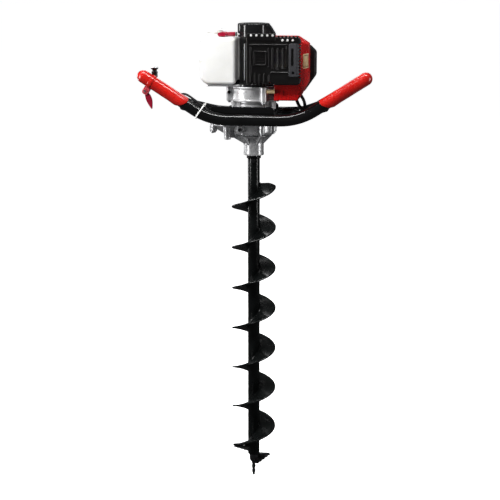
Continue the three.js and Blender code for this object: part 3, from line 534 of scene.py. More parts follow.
def sweep(path, radius, sides=24, closed=False, section=None):
    """A tube through the points of path. section, where given, is its outline in place of a circle."""
    points = [Vector(p) for p in path]
    outline = section or circle(radius, sides=sides)
    count = len(points)
    tangents = []
    for i in range(count):
        before = points[i - 1] if i or closed else points[i]
        after = points[(i + 1) % count] if i < count - 1 or closed else points[i]
        tangents.append((after - before).normalized())
    side = tangents[0].orthogonal().normalized()
    bm = bmesh.new()
    rings = []
    for point, tangent in zip(points, tangents):
        side = (side - tangent * side.dot(tangent)).normalized()
        up = tangent.cross(side)
        rings.append([bm.verts.new(point + side * u + up * v) for u, v in outline])
    return skin(bm, rings, closed)


def smooth_path(points, steps=10):
    """A Catmull-Rom curve through points."""
    p = [Vector(q) for q in points]
    p = [2 * p[0] - p[1], *p, 2 * p[-1] - p[-2]]
    made = []
    for i in range(1, len(p) - 2):
        for k in range(steps):
            t = k / steps
            a, b, c, d = p[i - 1 : i + 3]
            squared, cubed = 2 * a - 5 * b + 4 * c - d, 3 * b - a - 3 * c + d
            made.append(0.5 * (2 * b + (c - a) * t + squared * t**2 + cubed * t**3))
    return [*made, p[-2]]


def bent_path(corners, rounding, steps=14):
    """Straight runs with each corner rounded over a distance on both sides of it."""
    points = [Vector(c) for c in corners]
    made = [points[0]]
    for before, corner, after in zip(points, points[1:], points[2:]):
        start = corner + (before - corner).normalized() * rounding
        end = corner + (after - corner).normalized() * rounding
        for i in range(steps + 1):
            t = i / steps
            made.append(start * (1 - t) ** 2 + corner * 2 * t * (1 - t) + end * t**2)
    return [*made, points[-1]]


def boolean(base, others, operation):
    """Applies an operation with each of others to base, and removes them."""
    for other in others:
        step = base.modifiers.new("cut", "BOOLEAN")
        step.operation = operation
        step.solver = "MANIFOLD"
        step.object = other
    apply_modifiers(base)
    for other in others:
        remove(other)
    return base


def fuse(base, *others):
    return boolean(base, others, "UNION")


def carve(base, *others):
    return boolean(base, others, "DIFFERENCE")


def moved(obj, matrix):
    obj.data.transform(matrix)
    return obj


def turned_z(obj, degrees):
    return moved(obj, Matrix.Rotation(radians(degrees), 4, "Z"))


def bevelled(obj, width, segments=3, angle=32):
    """Rounds the edges sharper than an angle in degrees."""
    step = obj.modifiers.new("bevel", "BEVEL")
    step.width = width
    step.segments = segments
    step.limit_method = "ANGLE"
    step.angle_limit = radians(angle)
    step.miter_outer = "MITER_ARC"
    return apply_modifiers(obj)


def softened(obj, voxel=0.9, smoothing=4):
    """Turns a sharp solid into a casting: one even skin with small fillets everywhere."""
    step = obj.modifiers.new("skin", "REMESH")
    step.mode = "VOXEL"
    step.voxel_size = voxel
    smooth = obj.modifiers.new("fillets", "SMOOTH")
    smooth.factor = 0.6
    smooth.iterations = smoothing
    return apply_modifiers(obj)


def merged(shapes):
    """Several shapes as one mesh, each still its own closed shell."""
    bm = bmesh.new()
    for shape in shapes:
        bm.from_mesh(shape.data)
        remove(shape)
    mesh = bpy.data.meshes.new("shape")
    bm.to_mesh(mesh)
    bm.free()
    return link(mesh)


def piece(obj, name, material, body="power_head", replaces=()):
    """Finishes a shape: its name, scale, shading, material and place among the bodies."""
    obj.data.transform(Matrix.Scale(MM, 4))
    obj.name = obj.data.name = name
    obj.data.materials.clear()
    obj.data.materials.append(M[material])
    obj.data.polygons.foreach_set("use_smooth", [True] * len(obj.data.polygons))
    obj.data.set_sharp_from_angle(angle=radians(38))
    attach(obj, body)
    if replaces:
        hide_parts(*([replaces] if isinstance(replaces, str) else replaces))


# ---- Handlebar ----


def arm_height(x):
    """The height of the front tube's raised arm at a distance from the middle."""
    return (x - FRONT_BEND) * tan(SLOPE)


def arm_frame(sign):
    """The frame at an arm's bend, whose X axis runs outwards on the right and inwards on the left."""
    place = Matrix.Translation((BAR_CENTRE + sign * FRONT_BEND, -BAR_Y, 0))
    return place @ Matrix.Rotation(-sign * SLOPE, 4, "Y")


def weld_bead(start, direction, sign):
    """A bead round the joint of a rear tube with the front tube's arm."""
    reach, step, jitter = TUBE + 0.4, 0.25, 0.35
    to_arm = arm_frame(sign).inverted()
    across = direction.orthogonal().normalized()
    other = direction.cross(across)
    path = []
    for angle in steps_round(48):
        point = start + (across * cos(angle) + other * sin(angle)) * reach
        for _ in range(200):
            local = to_arm @ point
            if hypot(local.y, local.z) <= reach:
                break
            point = point + direction * step
        path.append(point + Vector((rng.uniform(-jitter, jitter) for _ in range(3))))
    return sweep(path, 2.3, 10, closed=True)


def make_handlebar():
    """The front tube with its raised arms, and the rear tube welded into them."""

    def both_sides(outer, inner, rounding):
        """A path from an outer corner to an inner one, across, and out again."""
        corners = zip((-1, -1, 1, 1), (outer, inner, inner, outer))
        return bent_path([(BAR_CENTRE + sign * x, y, z) for sign, (x, y, z) in corners], rounding)

    join = arm_height(REAR_JOIN)
    front = both_sides((BAR_END, -BAR_Y, arm_height(BAR_END)), (FRONT_BEND, -BAR_Y, 0), 42)
    rear = both_sides((REAR_JOIN, -BAR_Y, join), (REAR_BEND, BAR_Y, REAR_Z), 34)
    rear_tube = keep_largest(carve(sweep(rear, TUBE, 48), sweep(front, TUBE - 0.6, 48)))
    piece(sweep(front, TUBE, 48), "front_tube", "bar", replaces="handlebar_front_tube")
    piece(rear_tube, "rear_tube", "bar", replaces="handlebar_rear_tube")
    beads = []
    for sign in (-1, 1):
        inner = Vector((BAR_CENTRE + sign * REAR_BEND, BAR_Y, REAR_Z))
        outer = Vector((BAR_CENTRE + sign * REAR_JOIN, -BAR_Y, join))
        direction = (outer - inner).normalized()
        beads.append(weld_bead(outer - direction * 45, direction, sign))
    piece(merged(beads), "tube_weld_beads", "bar")


def keep_largest(obj):
    """Deletes all but the largest of a mesh's shells."""
    bm = bmesh.new()
    bm.from_mesh(obj.data)
    left = set(bm.verts)
    shells = []
    while left:
        stack = [left.pop()]
        shell = set(stack)
        while stack:
            for edge in stack.pop().link_edges:
                for vert in edge.verts:
                    if vert in left:
                        left.discard(vert)
                        shell.add(vert)
                        stack.append(vert)
        shells.append(shell)
    shells.sort(key=len)
    for shell in shells[:-1]:
        bmesh.ops.delete(bm, geom=list(shell), context="VERTS")
    bm.to_mesh(obj.data)
    bm.free()
    return obj


def make_grip(sign, name):
    """A dipped sleeve with a domed end and an oblique, lipped mouth that clears the weld."""
    dome, lip, sides, start, slant = 14.4, 15.0, 64, ARM - 85, 26
    bm = bmesh.new()

    def ring(r, along, most=0.0):
        """A ring of the sleeve, set back by most at its highest and foremost point."""
        verts = []
        for angle in steps_round(sides):
            lean = most * 0.5 * (cos(angle - radians(45)) + 1)
            verts.append(bm.verts.new((sign * (along - lean), r * -sin(angle), r * cos(angle))))
        return verts

    def point(along):
        return [bm.verts.new((sign * along, 0, 0))]

    mouth = [(12.9, start + 1.5), (13.3, start), (14.6, start - 0.2), (lip, start + 1.2)]
    rings = [point(ARM - 4), *[ring(r, along, slant) for r, along in mouth]]
    for step in range(1, 13):
        t = step / 12
        r = lip + (dome - lip) * min(1, t * 6)
        rings.append(ring(r, start + 1.2 + (ARM - start - 1.2) * t, slant * (1 - t) ** 2))
    for step in range(1, 12):
        r, along = polar(dome, pi / 2 * step / 12)
        rings.append(ring(r, ARM + along))
    rings.append(point(ARM + dome))
    piece(moved(skin(bm, rings), arm_frame(sign)), name + "_sleeve", "grip", replaces=name)


def make_throttle():
    """The clamp, trigger and stop switch at the left grip's end."""
    arm = arm_frame(-1)
    pivot = pivot_x, pivot_z = -ARM + 20, -24
    grip, clamp_outer = 14.5, 15.8

    def along_arm(radius, sides=64):
        return rod("x", radius, -ARM - 40, 0, sides=sides)

    clamp = rod("x", clamp_outer, pivot_x - 4, pivot_x + 5, soft=1, sides=96)
    clamp = carve(clamp, along_arm(grip, 96))
    piece(moved(clamp, arm), "trigger_clamp", "grip", replaces="throttle_bracket")
    hanger = carve(
        fuse(
            slab((pivot_x - 6, pivot_x + 8), (-31, -13), (6, 1, 1, 6), "y", -7, 7),
            rod("y", 5.2, -8.4, 8.4, pivot, soft=0.8),
        ),
        along_arm(clamp_outer - 0.4),
        block((pivot_x - 7, pivot_x + 9), (-3.6, 3.6), (-34, -17)),
        rod("y", 2.2, -12, 12, pivot),
    )
    piece(moved(softened(hanger, 0.5, 3), arm), "trigger_hanger", "pink")

    lean, length = radians(-38), 46
    outline = []
    for t in steps_round(60):
        along = length / 2 * (1 - cos(t))
        bulge = sin(along / length * pi)
        across = (2.6 + 3.8 * bulge**1.2) * abs(sin(t)) ** 0.8
        u, v = along - 4, (across if sin(t) > 0 else -across) + 1.2 * bulge
        outline.append((pivot_x + u * cos(lean) - v * sin(lean), pivot_z + u * sin(lean) + v * cos(lean)))
    trigger = bevelled(prism(outline, "y", -3, 3), 1.6, 4, 50)
    piece(moved(trigger, arm), "trigger_blade", "crimson", "trigger", "throttle_trigger")
    pin = fuse(rod("y", 2, -8.5, 8.5, pivot), rod("y", 2.8, -9.2, -8.2, pivot, soft=0.4))
    piece(moved(pin, arm), "trigger_pivot_pin", "zinc", replaces="trigger_pin")

    upright = arm @ Matrix.Translation((pivot_x - 10.8, 15, 26.4)) @ Matrix.Rotation(-SLOPE, 4, "Y")
    body = [(5.3, -7), (6.4, -7), (7.0, -7.6), (7.0, -9), (6.4, -12), (6.8, -19), (0, -19), (0, -16)]
    body = carve(
        moved(lathe([*body, (5.3, -16)], sides=48), upright),
        moved(along_arm(grip), arm),
        moved(rod("x", clamp_outer + 0.3, pivot_x - 4.5, pivot_x + 5.5, sides=64), arm),
    )
    piece(body, "switch_body", "black", replaces="stop_switch_body")
    head = [(0, -4.2), (4.4, -4.2), (7.6, -1.6), (8.4, -0.2), (8.4, 0.6), (7.8, 1.0), (0, 1.0)]
    stem = [(0, -12), (5, -12), (5, -4), (0, -4)]
    button = merged([lathe(stem, sides=48), lathe(head, sides=48)])
    piece(moved(button, upright), "switch_button", "black", "stop_switch_button", "stop_button")
    cap = lathe([(0, 0.9), (7.7, 0.9), (7.9, 1.6), (7.3, 3), (5, 3.7), (0, 3.8)], sides=48)
    piece(moved(cap, upright), "switch_button_cap", "cast", "stop_switch_button")


def make_mounts():
    """The folded plates between the tubes, which carry the gearbox by its roof. The front plate's wide lip
    is partly painted shade: a black sheet across the dark band in front of the neck.
    """
    roof, edge = 18.7, 50.5
    for name, sign, lip_x, shelf_x in (
        ("mount_plate_front", -1, (-88, 50), (-40, 46)),
        ("mount_plate_rear", 1, (-30, 50), (-30, 46)),
    ):
        lip_y = sorted((sign * (edge - 4), sign * edge))
        # The front lip's width and height make a black sheet where shade and dark reflection fall in front
        # of the neck: painted shade.
        lip = slab(lip_x, (6.5, 27.8), (1, 7, 7, 1), "y", *lip_y, 6)
        shelf = block(shelf_x, sorted((sign * 22, sign * (edge - 1))), (roof, roof + 4))
        plate = carve(
            fuse(lip, shelf),
            rod("z", 42.4, 0, 40, sides=96),
            *[rod("z", 6.8, 0, 40, place) for place in NECK_BOSSES],
            rod("x", TUBE + 0.05, -120, 120, (sign * BAR_Y, REAR_Z if sign > 0 else 0), sides=64),
        )
        piece(bevelled(plate, 0.9, 3), name + "_steel", "bar", replaces=name)


# ---- Gearbox ----


def box_outline(radius, steps=28):
    """The outline round both of the gearbox's shafts."""
    ends = ((0, -90), (TRAIN_X, 90))
    return [polar(radius, radians(a + 180 * i / steps), (x, 0)) for x, a in ends for i in range(steps + 1)]


LUG_PLACES = around(BOX_RADIUS + 1, (-60, -15, 15, 60)) + around(BOX_RADIUS + 1, (165, 195), (TRAIN_X, 0))
NECK_BOSSES = around(46, (205, 335, 25, 155))


def screw(x, y, top, radius=3.6, height=4.2, down=False):
    """A socket screw's head and washer, standing at a height on the Z axis."""
    washer, socket = radius + 1.8, radius * 0.55
    profile = [(0, 0), (washer, 0), (washer, 0.9), (radius, 0.9), (radius, height - 0.5)]
    profile += [(radius - 0.5, height), (socket, height), (socket, height - 2), (0, height - 2)]
    turn = Matrix.Rotation(pi, 4, "X") if down else Matrix.Identity(4)
    return moved(lathe(profile, sides=32), Matrix.Translation((x, y, top)) @ turn)


def make_gearbox():
    """The ribbed lower casting, the upper casting with its neck, their screws and the oil plug."""
    split, floor, hub_bottom = -12, -42, -84
    arm_boss, drain, plug = (-88, -13), (-57, -18), (-25, -23)
    inner, outer = HUB_RADIUS - 3, BOX_RADIUS - 2
    rib = [(inner, floor + 3), (outer, floor + 6), (outer + 2, floor + 10), (outer + 3, floor + 9)]
    rib += [(outer - 1, floor + 1), (inner, hub_bottom + 22)]
    arm = [(-88, split), (-88, -19), (-76, -26), (-62, -33), (-40, -40), (-15, -44), (-15, split)]
    bowl = [(0, floor), (30, floor), (37, -40.6), (42, -36.6), (44.6, -31), (BOX_RADIUS, -29)]
    bowl += [(BOX_RADIUS, split), (0, split)]
    hub = [(0, hub_bottom), (22, hub_bottom), (22.6, hub_bottom + 0.8), (22.8, hub_bottom + 6)]
    hub += [(22.2, hub_bottom + 7), (22.4, -56), (24.5, -47), (29, floor + 0.5), (0, floor + 2)]
    lower = fuse(
        prism(box_outline(BOX_RADIUS), "z", split - 5, split),
        lathe(bowl, sides=96),
        prism(arm, "y", -15, 15),
        lathe(hub, sides=96),
        *[turned_z(prism(rib, "y", -1.9, 1.9), d) for d in (-62, -25, 20, 65, 115, 150, 205, 242)],
        rod("z", 7, -31, split - 1, arm_boss),
        rod("z", 4.4, -34, -30, arm_boss),
        rod("z", 7.5, -48.5, -20, drain),
        rod("z", 9, -46, -20, (TRAIN_X, 0)),
        rod("y", 7.2, -49, -38, plug),
        prism([(-52, -33), (-52, -40), (-20, -58), (-20, -44)], "y", -15, -10),
        prism([(-90, -14), (-90, -21), (-56, -40), (-56, -20)], "y", -17, -12.5),
        prism([(-84, -16), (-84, -24), (-50, -42), (-50, -20)], "y", 11, 15),
        *[rod("z", 5.6, split - 19, split, place) for place in LUG_PLACES],
    )
    lower = carve(
        lower,
        rod("z", 42, floor + 3, 0, sides=72),
        rod("z", 12.6, hub_bottom - 1, 0),
        rod("z", 18.9, hub_bottom - 1, -58),
        rod("z", 11.5, -37, 0, (TRAIN_X, 0)),
        rod("z", 2.6, -52, -40, drain),
        rod("y", 3.4, -52, -45, plug),
        prism([(-80, -20.5), (-80, -40), (-64, -40), (-64, -28.5)], "y", -11, 11),
    )
    # Same aluminium as the upper casting, coloured darker as painted shade.
    piece(softened(lower, 0.85, 3), "gearbox_lower_casting", "shade_darkened_cast", replaces="gearbox_housing")

    bottom, roof, neck_top = split + 0.3, 18.4, 37.7
    neck = [(0, 17), (42, 17), (42, 30), (41, 30.6), (41, 33.4), (42, 34), (42, neck_top), (0, neck_top)]
    web = [(40, roof - 1), (43.4, roof - 1), (43.4, neck_top), (40, neck_top)]
    upper = fuse(
        prism(box_outline(BOX_RADIUS), "z", bottom, roof),
        lathe(neck, sides=96),
        *[rod("z", 6.0, roof - 1, neck_top, place) for place in NECK_BOSSES],
        *[rod("z", 5.6, bottom, bottom + 10, place) for place in LUG_PLACES],
        *[turned_z(prism(web, "y", -1.6, 1.6), d) for d in (218, 232, 308, 322, 60, 90, 120)],
    )
    upper = carve(
        upper,
        prism(box_outline(42), "z", bottom + 4, roof - 7),
        rod("z", 7.4, bottom - 1, neck_top + 1),
        rod("z", 14.3, 26, neck_top + 1),
        rod("z", 13, bottom - 1, bottom + 5, (TRAIN_X, 0)),
    )
    piece(softened(upper, 0.85, 3), "gearbox_upper_casting", "cast", replaces="gearbox_cover")
    screws = [screw(*place, split + 10.2) for place in LUG_PLACES]
    screws += [screw(*place, split - 19, down=True) for place in LUG_PLACES]
    piece(merged(screws), "gearbox_screws", "zinc")
    head = [(0, -51), (2.2, -51), (2.2, -53), (3, -53.2), (3.2, -52.6), (3.2, -46), (0, -46)]
    piece(lathe(head, plug, 32, "y"), "gear_oil_plug", "dark_steel")


# ---- Bit ----


def make_bit():
    """The bit's tube with its collar and clamp bolt, and the flight with its weld beads."""
    top, tube_end, bolt_z, bore, collar = BIT_TOP, BIT_BOTTOM + 20, BIT_TOP - 9, 10.5, BIT_TUBE + 2.5
    profile = [(bore, tube_end), (12.9, tube_end), (BIT_TUBE, tube_end + 0.8), (BIT_TUBE, top - 6)]
    profile += [(collar - 0.3, top - 5.4), (collar, top - 5), (collar, top - 1), (collar - 0.8, top)]
    made = carve(lathe([*profile, (bore, top)], sides=64), rod("y", 3.3, -20, 20, (0, bolt_z)))
    piece(made, "bit_centre_tube", "bit", "auger_drive", "bit_tube")

    turns = (FLIGHT_TOP - FLIGHT_BOTTOM) / PITCH
    steps = round(turns * 72)

    def on_helix(step, radius, lift):
        angle = pi + (1 - step / steps) * turns * 2 * pi
        return (*polar(radius, angle), FLIGHT_TOP - step / steps * turns * PITCH + lift)

    bm = bmesh.new()
    rings = []
    root, half, rim_half = BIT_TUBE + 0.2, 2, 0.9
    for i in range(steps + 1):
        from_end = min(i / steps, 1 - i / steps) * turns
        reach = BIT_RADIUS - 14 * max(0.0, 1 - from_end / 0.06) ** 2
        outline = [(root, -half), (reach - 0.9, -1.8), (reach, -rim_half)]
        outline += [(r, -up) for r, up in reversed(outline)]
        rings.append([bm.verts.new(on_helix(i, r, up)) for r, up in outline])
    piece(skin(bm, rings), "bit_helical_flight", "bit", "auger_drive", "bit_flight")
    beads = []
    for lift in (-2.6, 2.6):
        path = [on_helix(i, BIT_TUBE + 0.6, lift + rng.uniform(-0.3, 0.3)) for i in range(steps + 1)]
        beads.append(sweep(path, 1.9, 8))
    piece(merged(beads), "flight_weld_beads", "bit", "auger_drive")
    make_cutters(tube_end)
    make_pilot(tube_end)
    bolt = [rod("y", 3, -17, 19, (0, bolt_z))]
    for y0, y1 in ((-20.5, -16.2), (16.2, 21)):
        bolt.append(bevelled(rod("y", 5.5, y0, y1, (0, bolt_z), sides=6), 0.5, 2))
    piece(merged(bolt), "bit_clamp_bolt", "dark_steel", "auger_drive", "bit_cross_bolt")


def make_cutters(tube_end):
    """The two toothed blades, each ground thin along its teeth and held by two bolts."""
    leading, trailing, inner = -21, 13, 4
    for name, turn, height, reach, slope in (
        ("cutter_blade_left", pi, FLIGHT_BOTTOM - 8, 47, radians(37)),
        ("cutter_blade_right", 0, BIT_BOTTOM + 11, 38, radians(26)),
    ):
        outer = 0.34 * reach
        outline = [(inner, leading + 2)]
        for k in range(9):
            along, notch = k / 8, 1.8 * (k % 2)
            x, y = outer + (reach - outer) * along, leading + (trailing - 5 - leading) * along
            outline.append((x - notch, y + notch))
        plate = prism([*outline, (reach - 2, trailing), (inner, trailing)], "z", -2, 2)
        for vert in plate.data.vertices:
            if vert.co.y < trailing - 4 and vert.co.x > inner + 1:
                vert.co.z = vert.co.z * 0.3 - 1.1
        head = [(0, 2), (4.6, 2), (4.6, 4.2), (3.4, 5.2), (0, 5.4)]
        bolts = [lathe(head, centre, 24) for centre in ((reach * 0.62, 5), (BIT_TUBE + 3, 3))]
        place = Matrix.Translation((0, 0, height)) @ Matrix.Rotation(turn, 4, "Z")
        place = place @ Matrix.Rotation(slope, 4, "X")
        cutter = moved(bevelled(plate, 0.35, 2), place)
        cutter = carve(cutter, rod("z", BIT_TUBE - 0.4, tube_end, BIT_TOP))
        piece(cutter, name + "_ground", "dark_steel", "auger_drive", name)
        piece(moved(merged(bolts), place), name + "_bolts", "dark_steel", "auger_drive")


def make_pilot(tube_end):
    """The twisted pilot point, on a plug that fills the tube's end."""
    length, twists, steps, bottom = 33.7, 1.5, 60, BIT_BOTTOM
    section = [(-5.4, -2), (-4.2, -3.4), (0, -4.2), (4.2, -3.4), (5.4, -2)]
    section += [(-u, -v) for u, v in section]
    bm = bmesh.new()
    rings = []
    for i in range(steps + 1):
        t = i / steps
        width = 0.9 - 0.3 * t - 0.42 * max(0, t - 0.9) / 0.1
        turn = Matrix.Rotation(t * twists * 2 * pi, 3, "Z")
        lift = Vector((0, 0, bottom - 0.3 - length * t))
        rings.append([bm.verts.new(turn @ Vector((u * width, v * width, 0)) + lift) for u, v in section])
    plug = [(0, bottom - 1), (5, bottom - 1), (8.6, bottom + 3), (10.2, bottom + 12)]
    plug += [(10.2, tube_end + 12), (0, tube_end + 12)]
    piece(merged([skin(bm, rings), lathe(plug)]), "pilot_screw", "dark_steel", "auger_drive", "pilot_point")


# ---- Engine ----


def make_clutch_housing():
    """The cast cup round the clutch, with its lugs and screws."""
    bottom, top, radius = 38, 71, 49
    lugs = around(radius + 5, (192, 300, 20, 110))
    cup = [(0, bottom), (radius, bottom), (radius + 1.5, bottom + 1), (radius + 1.5, bottom + 4)]
    cup += [(radius - 0.5, bottom + 5.5), (radius - 1, top - 5), (radius + 1, top - 4)]
    cup += [(radius + 1, top), (0, top)]
    web = [(46, bottom + 3), (radius + 2.5, bottom + 3), (radius + 1.5, top - 2), (46, top - 2)]
    housing = carve(
        fuse(
            lathe(cup, sides=96),
            *[rod("z", 7, bottom, top, place) for place in lugs],
            *[turned_z(prism(web, "y", -1.3, 1.3), degrees) for degrees in (45, 70, 140, 160)],
        ),
        rod("z", 45.5, bottom + 3, top + 1, sides=96),
        rod("z", 16, bottom - 1, bottom + 4),
    )
    piece(softened(housing, 0.9, 3), "clutch_housing_casting", "cast", replaces="clutch_housing")
    screws = [screw(*place, bottom, down=True) for place in lugs]
    side_screw, lug_bolt = (-53, 66), (-52.5, 57)
    screws.append(rod("y", 2.4, -20, -17, side_screw, sides=24, soft=0.4))
    piece(merged(screws), "clutch_screws", "zinc")
    bolt = rod("y", 3.8, -22, -17, lug_bolt, sides=6, soft=0.5)
    piece(bolt, "clutch_lug_bolt", "bar")


def make_crankcase():
    """The paint-finished crankcase, a bright strip down its side as a painted highlight, and the fan
    housing above it.
    """
    foot, roof = 71.3, 150
    slot = (CYLINDER_Z - 7, CYLINDER_Z + 7)
    profile = [(0, foot), (43.6, foot), (44, foot + 0.5), (44, 75), (43, 75.6), (39, 77), (35.5, 80)]
    profile += [(33.2, 85), (CASE_RADIUS, 92), (CASE_RADIUS, roof - 0.4), (CASE_RADIUS - 0.4, roof)]
    profile.append((0, roof))
    case = fuse(
        lathe(profile, sides=96),
        block((10, CASE_RADIUS), (-28, 28), (CYLINDER_Z - 25.7, CYLINDER_Z + 25.7)),
        *[rod("z", 4.5, foot, 84, place) for place in around(37.5, (200, 260, 300, 20, 100))],
    )
    case = carve(
        case,
        rod("z", 27.5, 102, 146),
        rod("z", 30.2, *slot),
        rod("z", 8.6, 70, roof + 1),
        rod("x", 22, 0, CASE_RADIUS + 1, (0, CYLINDER_Z)),
        block((5, CASE_RADIUS + 1), (-25.5, 25.5), slot),
    )
    piece(bevelled(case, 0.5, 2), "crankcase_painted", "case", replaces="crankcase")
    # A bare aluminium strip down the case's front-left side: a painted highlight, put where a light's glint
    # on the black case would fall.
    thin_block = bevelled(block((-1.1, 1.1), (-33.4, -30), (82, 164)), 0.5, 2)
    piece(turned_z(thin_block, -31.6), "crankcase_painted_highlight_strip", "cast")

    low, high = node_box("fan_housing")
    bottom, top = low[2], high[2]
    ring = [(0, bottom), (CASE_RADIUS - 0.4, bottom), (CASE_RADIUS, bottom + 0.5), (CASE_RADIUS, top - 0.5)]
    fan = carve(
        lathe([*ring, (CASE_RADIUS - 0.4, top), (0, top)], sides=96),
        rod("z", 29.6, bottom + 2, top + 1, sides=96),
        rod("z", 10, bottom - 1, top),
        block((18, 40), (-20, 20), (bottom + 2, top + 1)),
    )
    piece(fan, "fan_housing_moulded", "shiny_black", replaces="fan_housing")


def make_starter():
    """The starter's cover with its vents, the rope and its handle."""
    low, high = node_box("starter_cover")
    bottom, top, radius, rope = low[2], high[2], 35.5, (-18, 184)
    lugs = around(radius + 1.5, (100, 150))
    profile = [(0, bottom), (radius, bottom), (radius, top - 3.2), (radius - 0.5, top - 1.4)]
    profile += [(radius - 1.8, top - 0.3), (radius - 3.4, top), (0, top)]
    shoulder = [(20, top - 2), (radius - 2, top - 3), (radius + 3, top - 9), (47, bottom + 6), (47, bottom)]
    outer = fuse(
        lathe(profile, sides=128),
        bevelled(prism([*shoulder, (20, bottom)], "y", -20, 20), 2.2, 4),
        *[bevelled(rod("z", 4.6, bottom, bottom + 9, place, sides=32), 0.6, 2) for place in lugs],
    )
    vents = []
    for degrees in (-58, -46, -34, -22, -10):
        vent = slab((-2.2, 2.2), (bottom + 6, top - 7), 2.1, "x", -radius - 3, 6 - radius, 4)
        vents.append(turned_z(vent, degrees))
    cover = carve(
        outer,
        rod("z", radius - 2.4, bottom - 1, top - 3, sides=96),
        rod("x", 2.8, -50, 0, rope),
        tube("z", 26.5, 25.3, top - 0.7, top + 1, sides=96),
        *vents,
    )
    cover = bevelled(fuse(cover, rod("z", 4.6, bottom + 1, top - 2)), 0.35, 2, 40)
    piece(cover, "starter_cover_moulded", "shiny_black", replaces="starter_cover")
    screws = [screw(*place, bottom + 9, 2.6, 3) for place in lugs]
    grommet = lathe([(2, -37.2), (4.6, -37.2), (5, -36.4), (4.6, -35), (2, -35)], rope, 32, "x")
    piece(merged(screws), "starter_screws", "zinc")
    piece(grommet, "rope_grommet", "black")

    handle = fuse(
        rod("x", 4.2, -60, -38.5, rope, end_radius=5.2, soft=0.8),
        slab((-75, -57), (rope[1] - 4.2, rope[1] + 4.2), 4, "y", -36, 0, 6),
    )
    piece(bevelled(handle, 1.4, 4, 40), "pull_handle_grip", "crimson", "pull_handle", "starter_handle")
    strands = []
    for strand in range(3):
        lay = [polar(0.75, i * 0.55 + strand * 2 * pi / 3, rope) for i in range(90)]
        strands.append(sweep([(-50 + 70 * i / 89, y, z) for i, (y, z) in enumerate(lay)], 0.82, 8))
    piece(merged(strands), "pull_rope", "nylon", "pull_handle")


def make_guard():
    """The muffler guard: ribs, a framed panel, louvres, a comb of vents with white plugs as painted glints,
    and a jagged hem.
    """
    low, high = node_box("muffler_guard")
    left, right, front, back, bottom = low[0], high[0], low[1], high[1], low[2]
    top, comb_top, comb_right, wall = 181.5, 189, 56, 3
    hollow_x, hollow_z = (left + wall, right - wall), (bottom + wall, top - wall)
    vent_places = [(x, 185) for x in (3, 15, 27, 38.5, 50)] + [(x, 175) for x in (71, 82, 93)]
    tooth, rib = (front + 0.4, front + 9), (front - 0.2, front + 5)
    upright_ribs = [(2.8, 84, 160), (41.5, 117, 158), (50, 113, 158), (61.5, 111, 158), (72.5, 113, 158)]
    upright_ribs += [(80.5, 117, 162), (12, 82, 104), (22, 82, 102), (32, 82, 104), (42, 84, 100)]
    shell = fuse(
        carve(
            bevelled(slab((left, right), (bottom, top), (8, 10, 5, 7), "y", front + 1.8, back), 2.4, 4, 50),
            slab(hollow_x, hollow_z, 7, "y", front + 4.5, back + 1, 6),
        ),
        slab((left + 1.5, comb_right), (top - 8, comb_top), (1, 3, 3, 1), "y", front, front + 4, 4),
        *[block((x, x + 3.4), tooth, (top - 3, top + 3.2), 0.5) for x in range(61, 105, 8)],
        *[block((x - 1.3, x + 1.3), rib, (z0, z1), 0.7) for x, z0, z1 in upright_ribs],
        carve(
            slab((8.5, 38), (119.5, 151), 3, "y", *rib, 4),
            slab((11.4, 35.2), (122.4, 148.2), 2, "y", front - 1, front + 6, 4),
        ),
        *[block((14.4, 32.2), (front + 1.3, front + 4), (z, z + 2), 0.6) for z in (127, 133, 139)],
        block((0, 84), (front + 0.1, front + 4), (163, 166), 0.8),
        block((46, 84), (front + 0.5, front + 4), (104, 107), 0.8),
    )
    hem = [
        block((x, x + 4.5), (front - 1, back - 8), (bottom - 1, bottom + 3 + 3 * (i % 2)))
        for i, x in enumerate(range(-4, 52, 9))
    ]
    shell = carve(
        shell,
        *[slab((x, x + 5.4), (116, 156), 2.4, "y", front - 1, front + 8, 5) for x in (53.2, 64.2, 74.6)],
        *[rod("y", 2.7, front - 1, front + 12, place, sides=24) for place in vent_places],
        *hem,
        *[block((left - 1, left + 4), (y, y + 3), (104, 160)) for y in (-72, -66, -60)],
        *[block((right - 3.4, right + 1), (front - 1, back + 1), (z, z + 3.4)) for z in range(94, 166, 7)],
    )
    piece(softened(shell, 0.62, 2), "muffler_guard_moulded", "black", replaces="muffler_guard")

    plate = carve(
        bevelled(slab((85, 107), (97, 168), 4, "y", front - 0.4, front + 3, 6), 1.1, 3),
        slab((90, 95.4), (120, 158), 2.6, "y", front - 2, front + 2.2, 6),
        slab((91.3, 97.3), (102.5, 108.5), 1, "y", front - 2, front + 2.2, 3),
        *[block((100.5, 109), (front - 2, front + 0.6), (z, z + 3)) for z in range(101, 166, 7)],
    )
    piece(plate, "guard_side_plate", "grey")
    # White plugs in the vents: painted highlights, standing in for glints of light in the openings.
    glint_plug_profile = [(0, front + 3), (2.6, front + 3), (2.4, front + 0.9), (1.2, front + 0.3), (0, front + 0.2)]
    glint_plugs = [lathe(glint_plug_profile, place, 24, "y") for place in vent_places]
    piece(merged(glint_plugs), "guard_vent_painted_glints", "nylon")


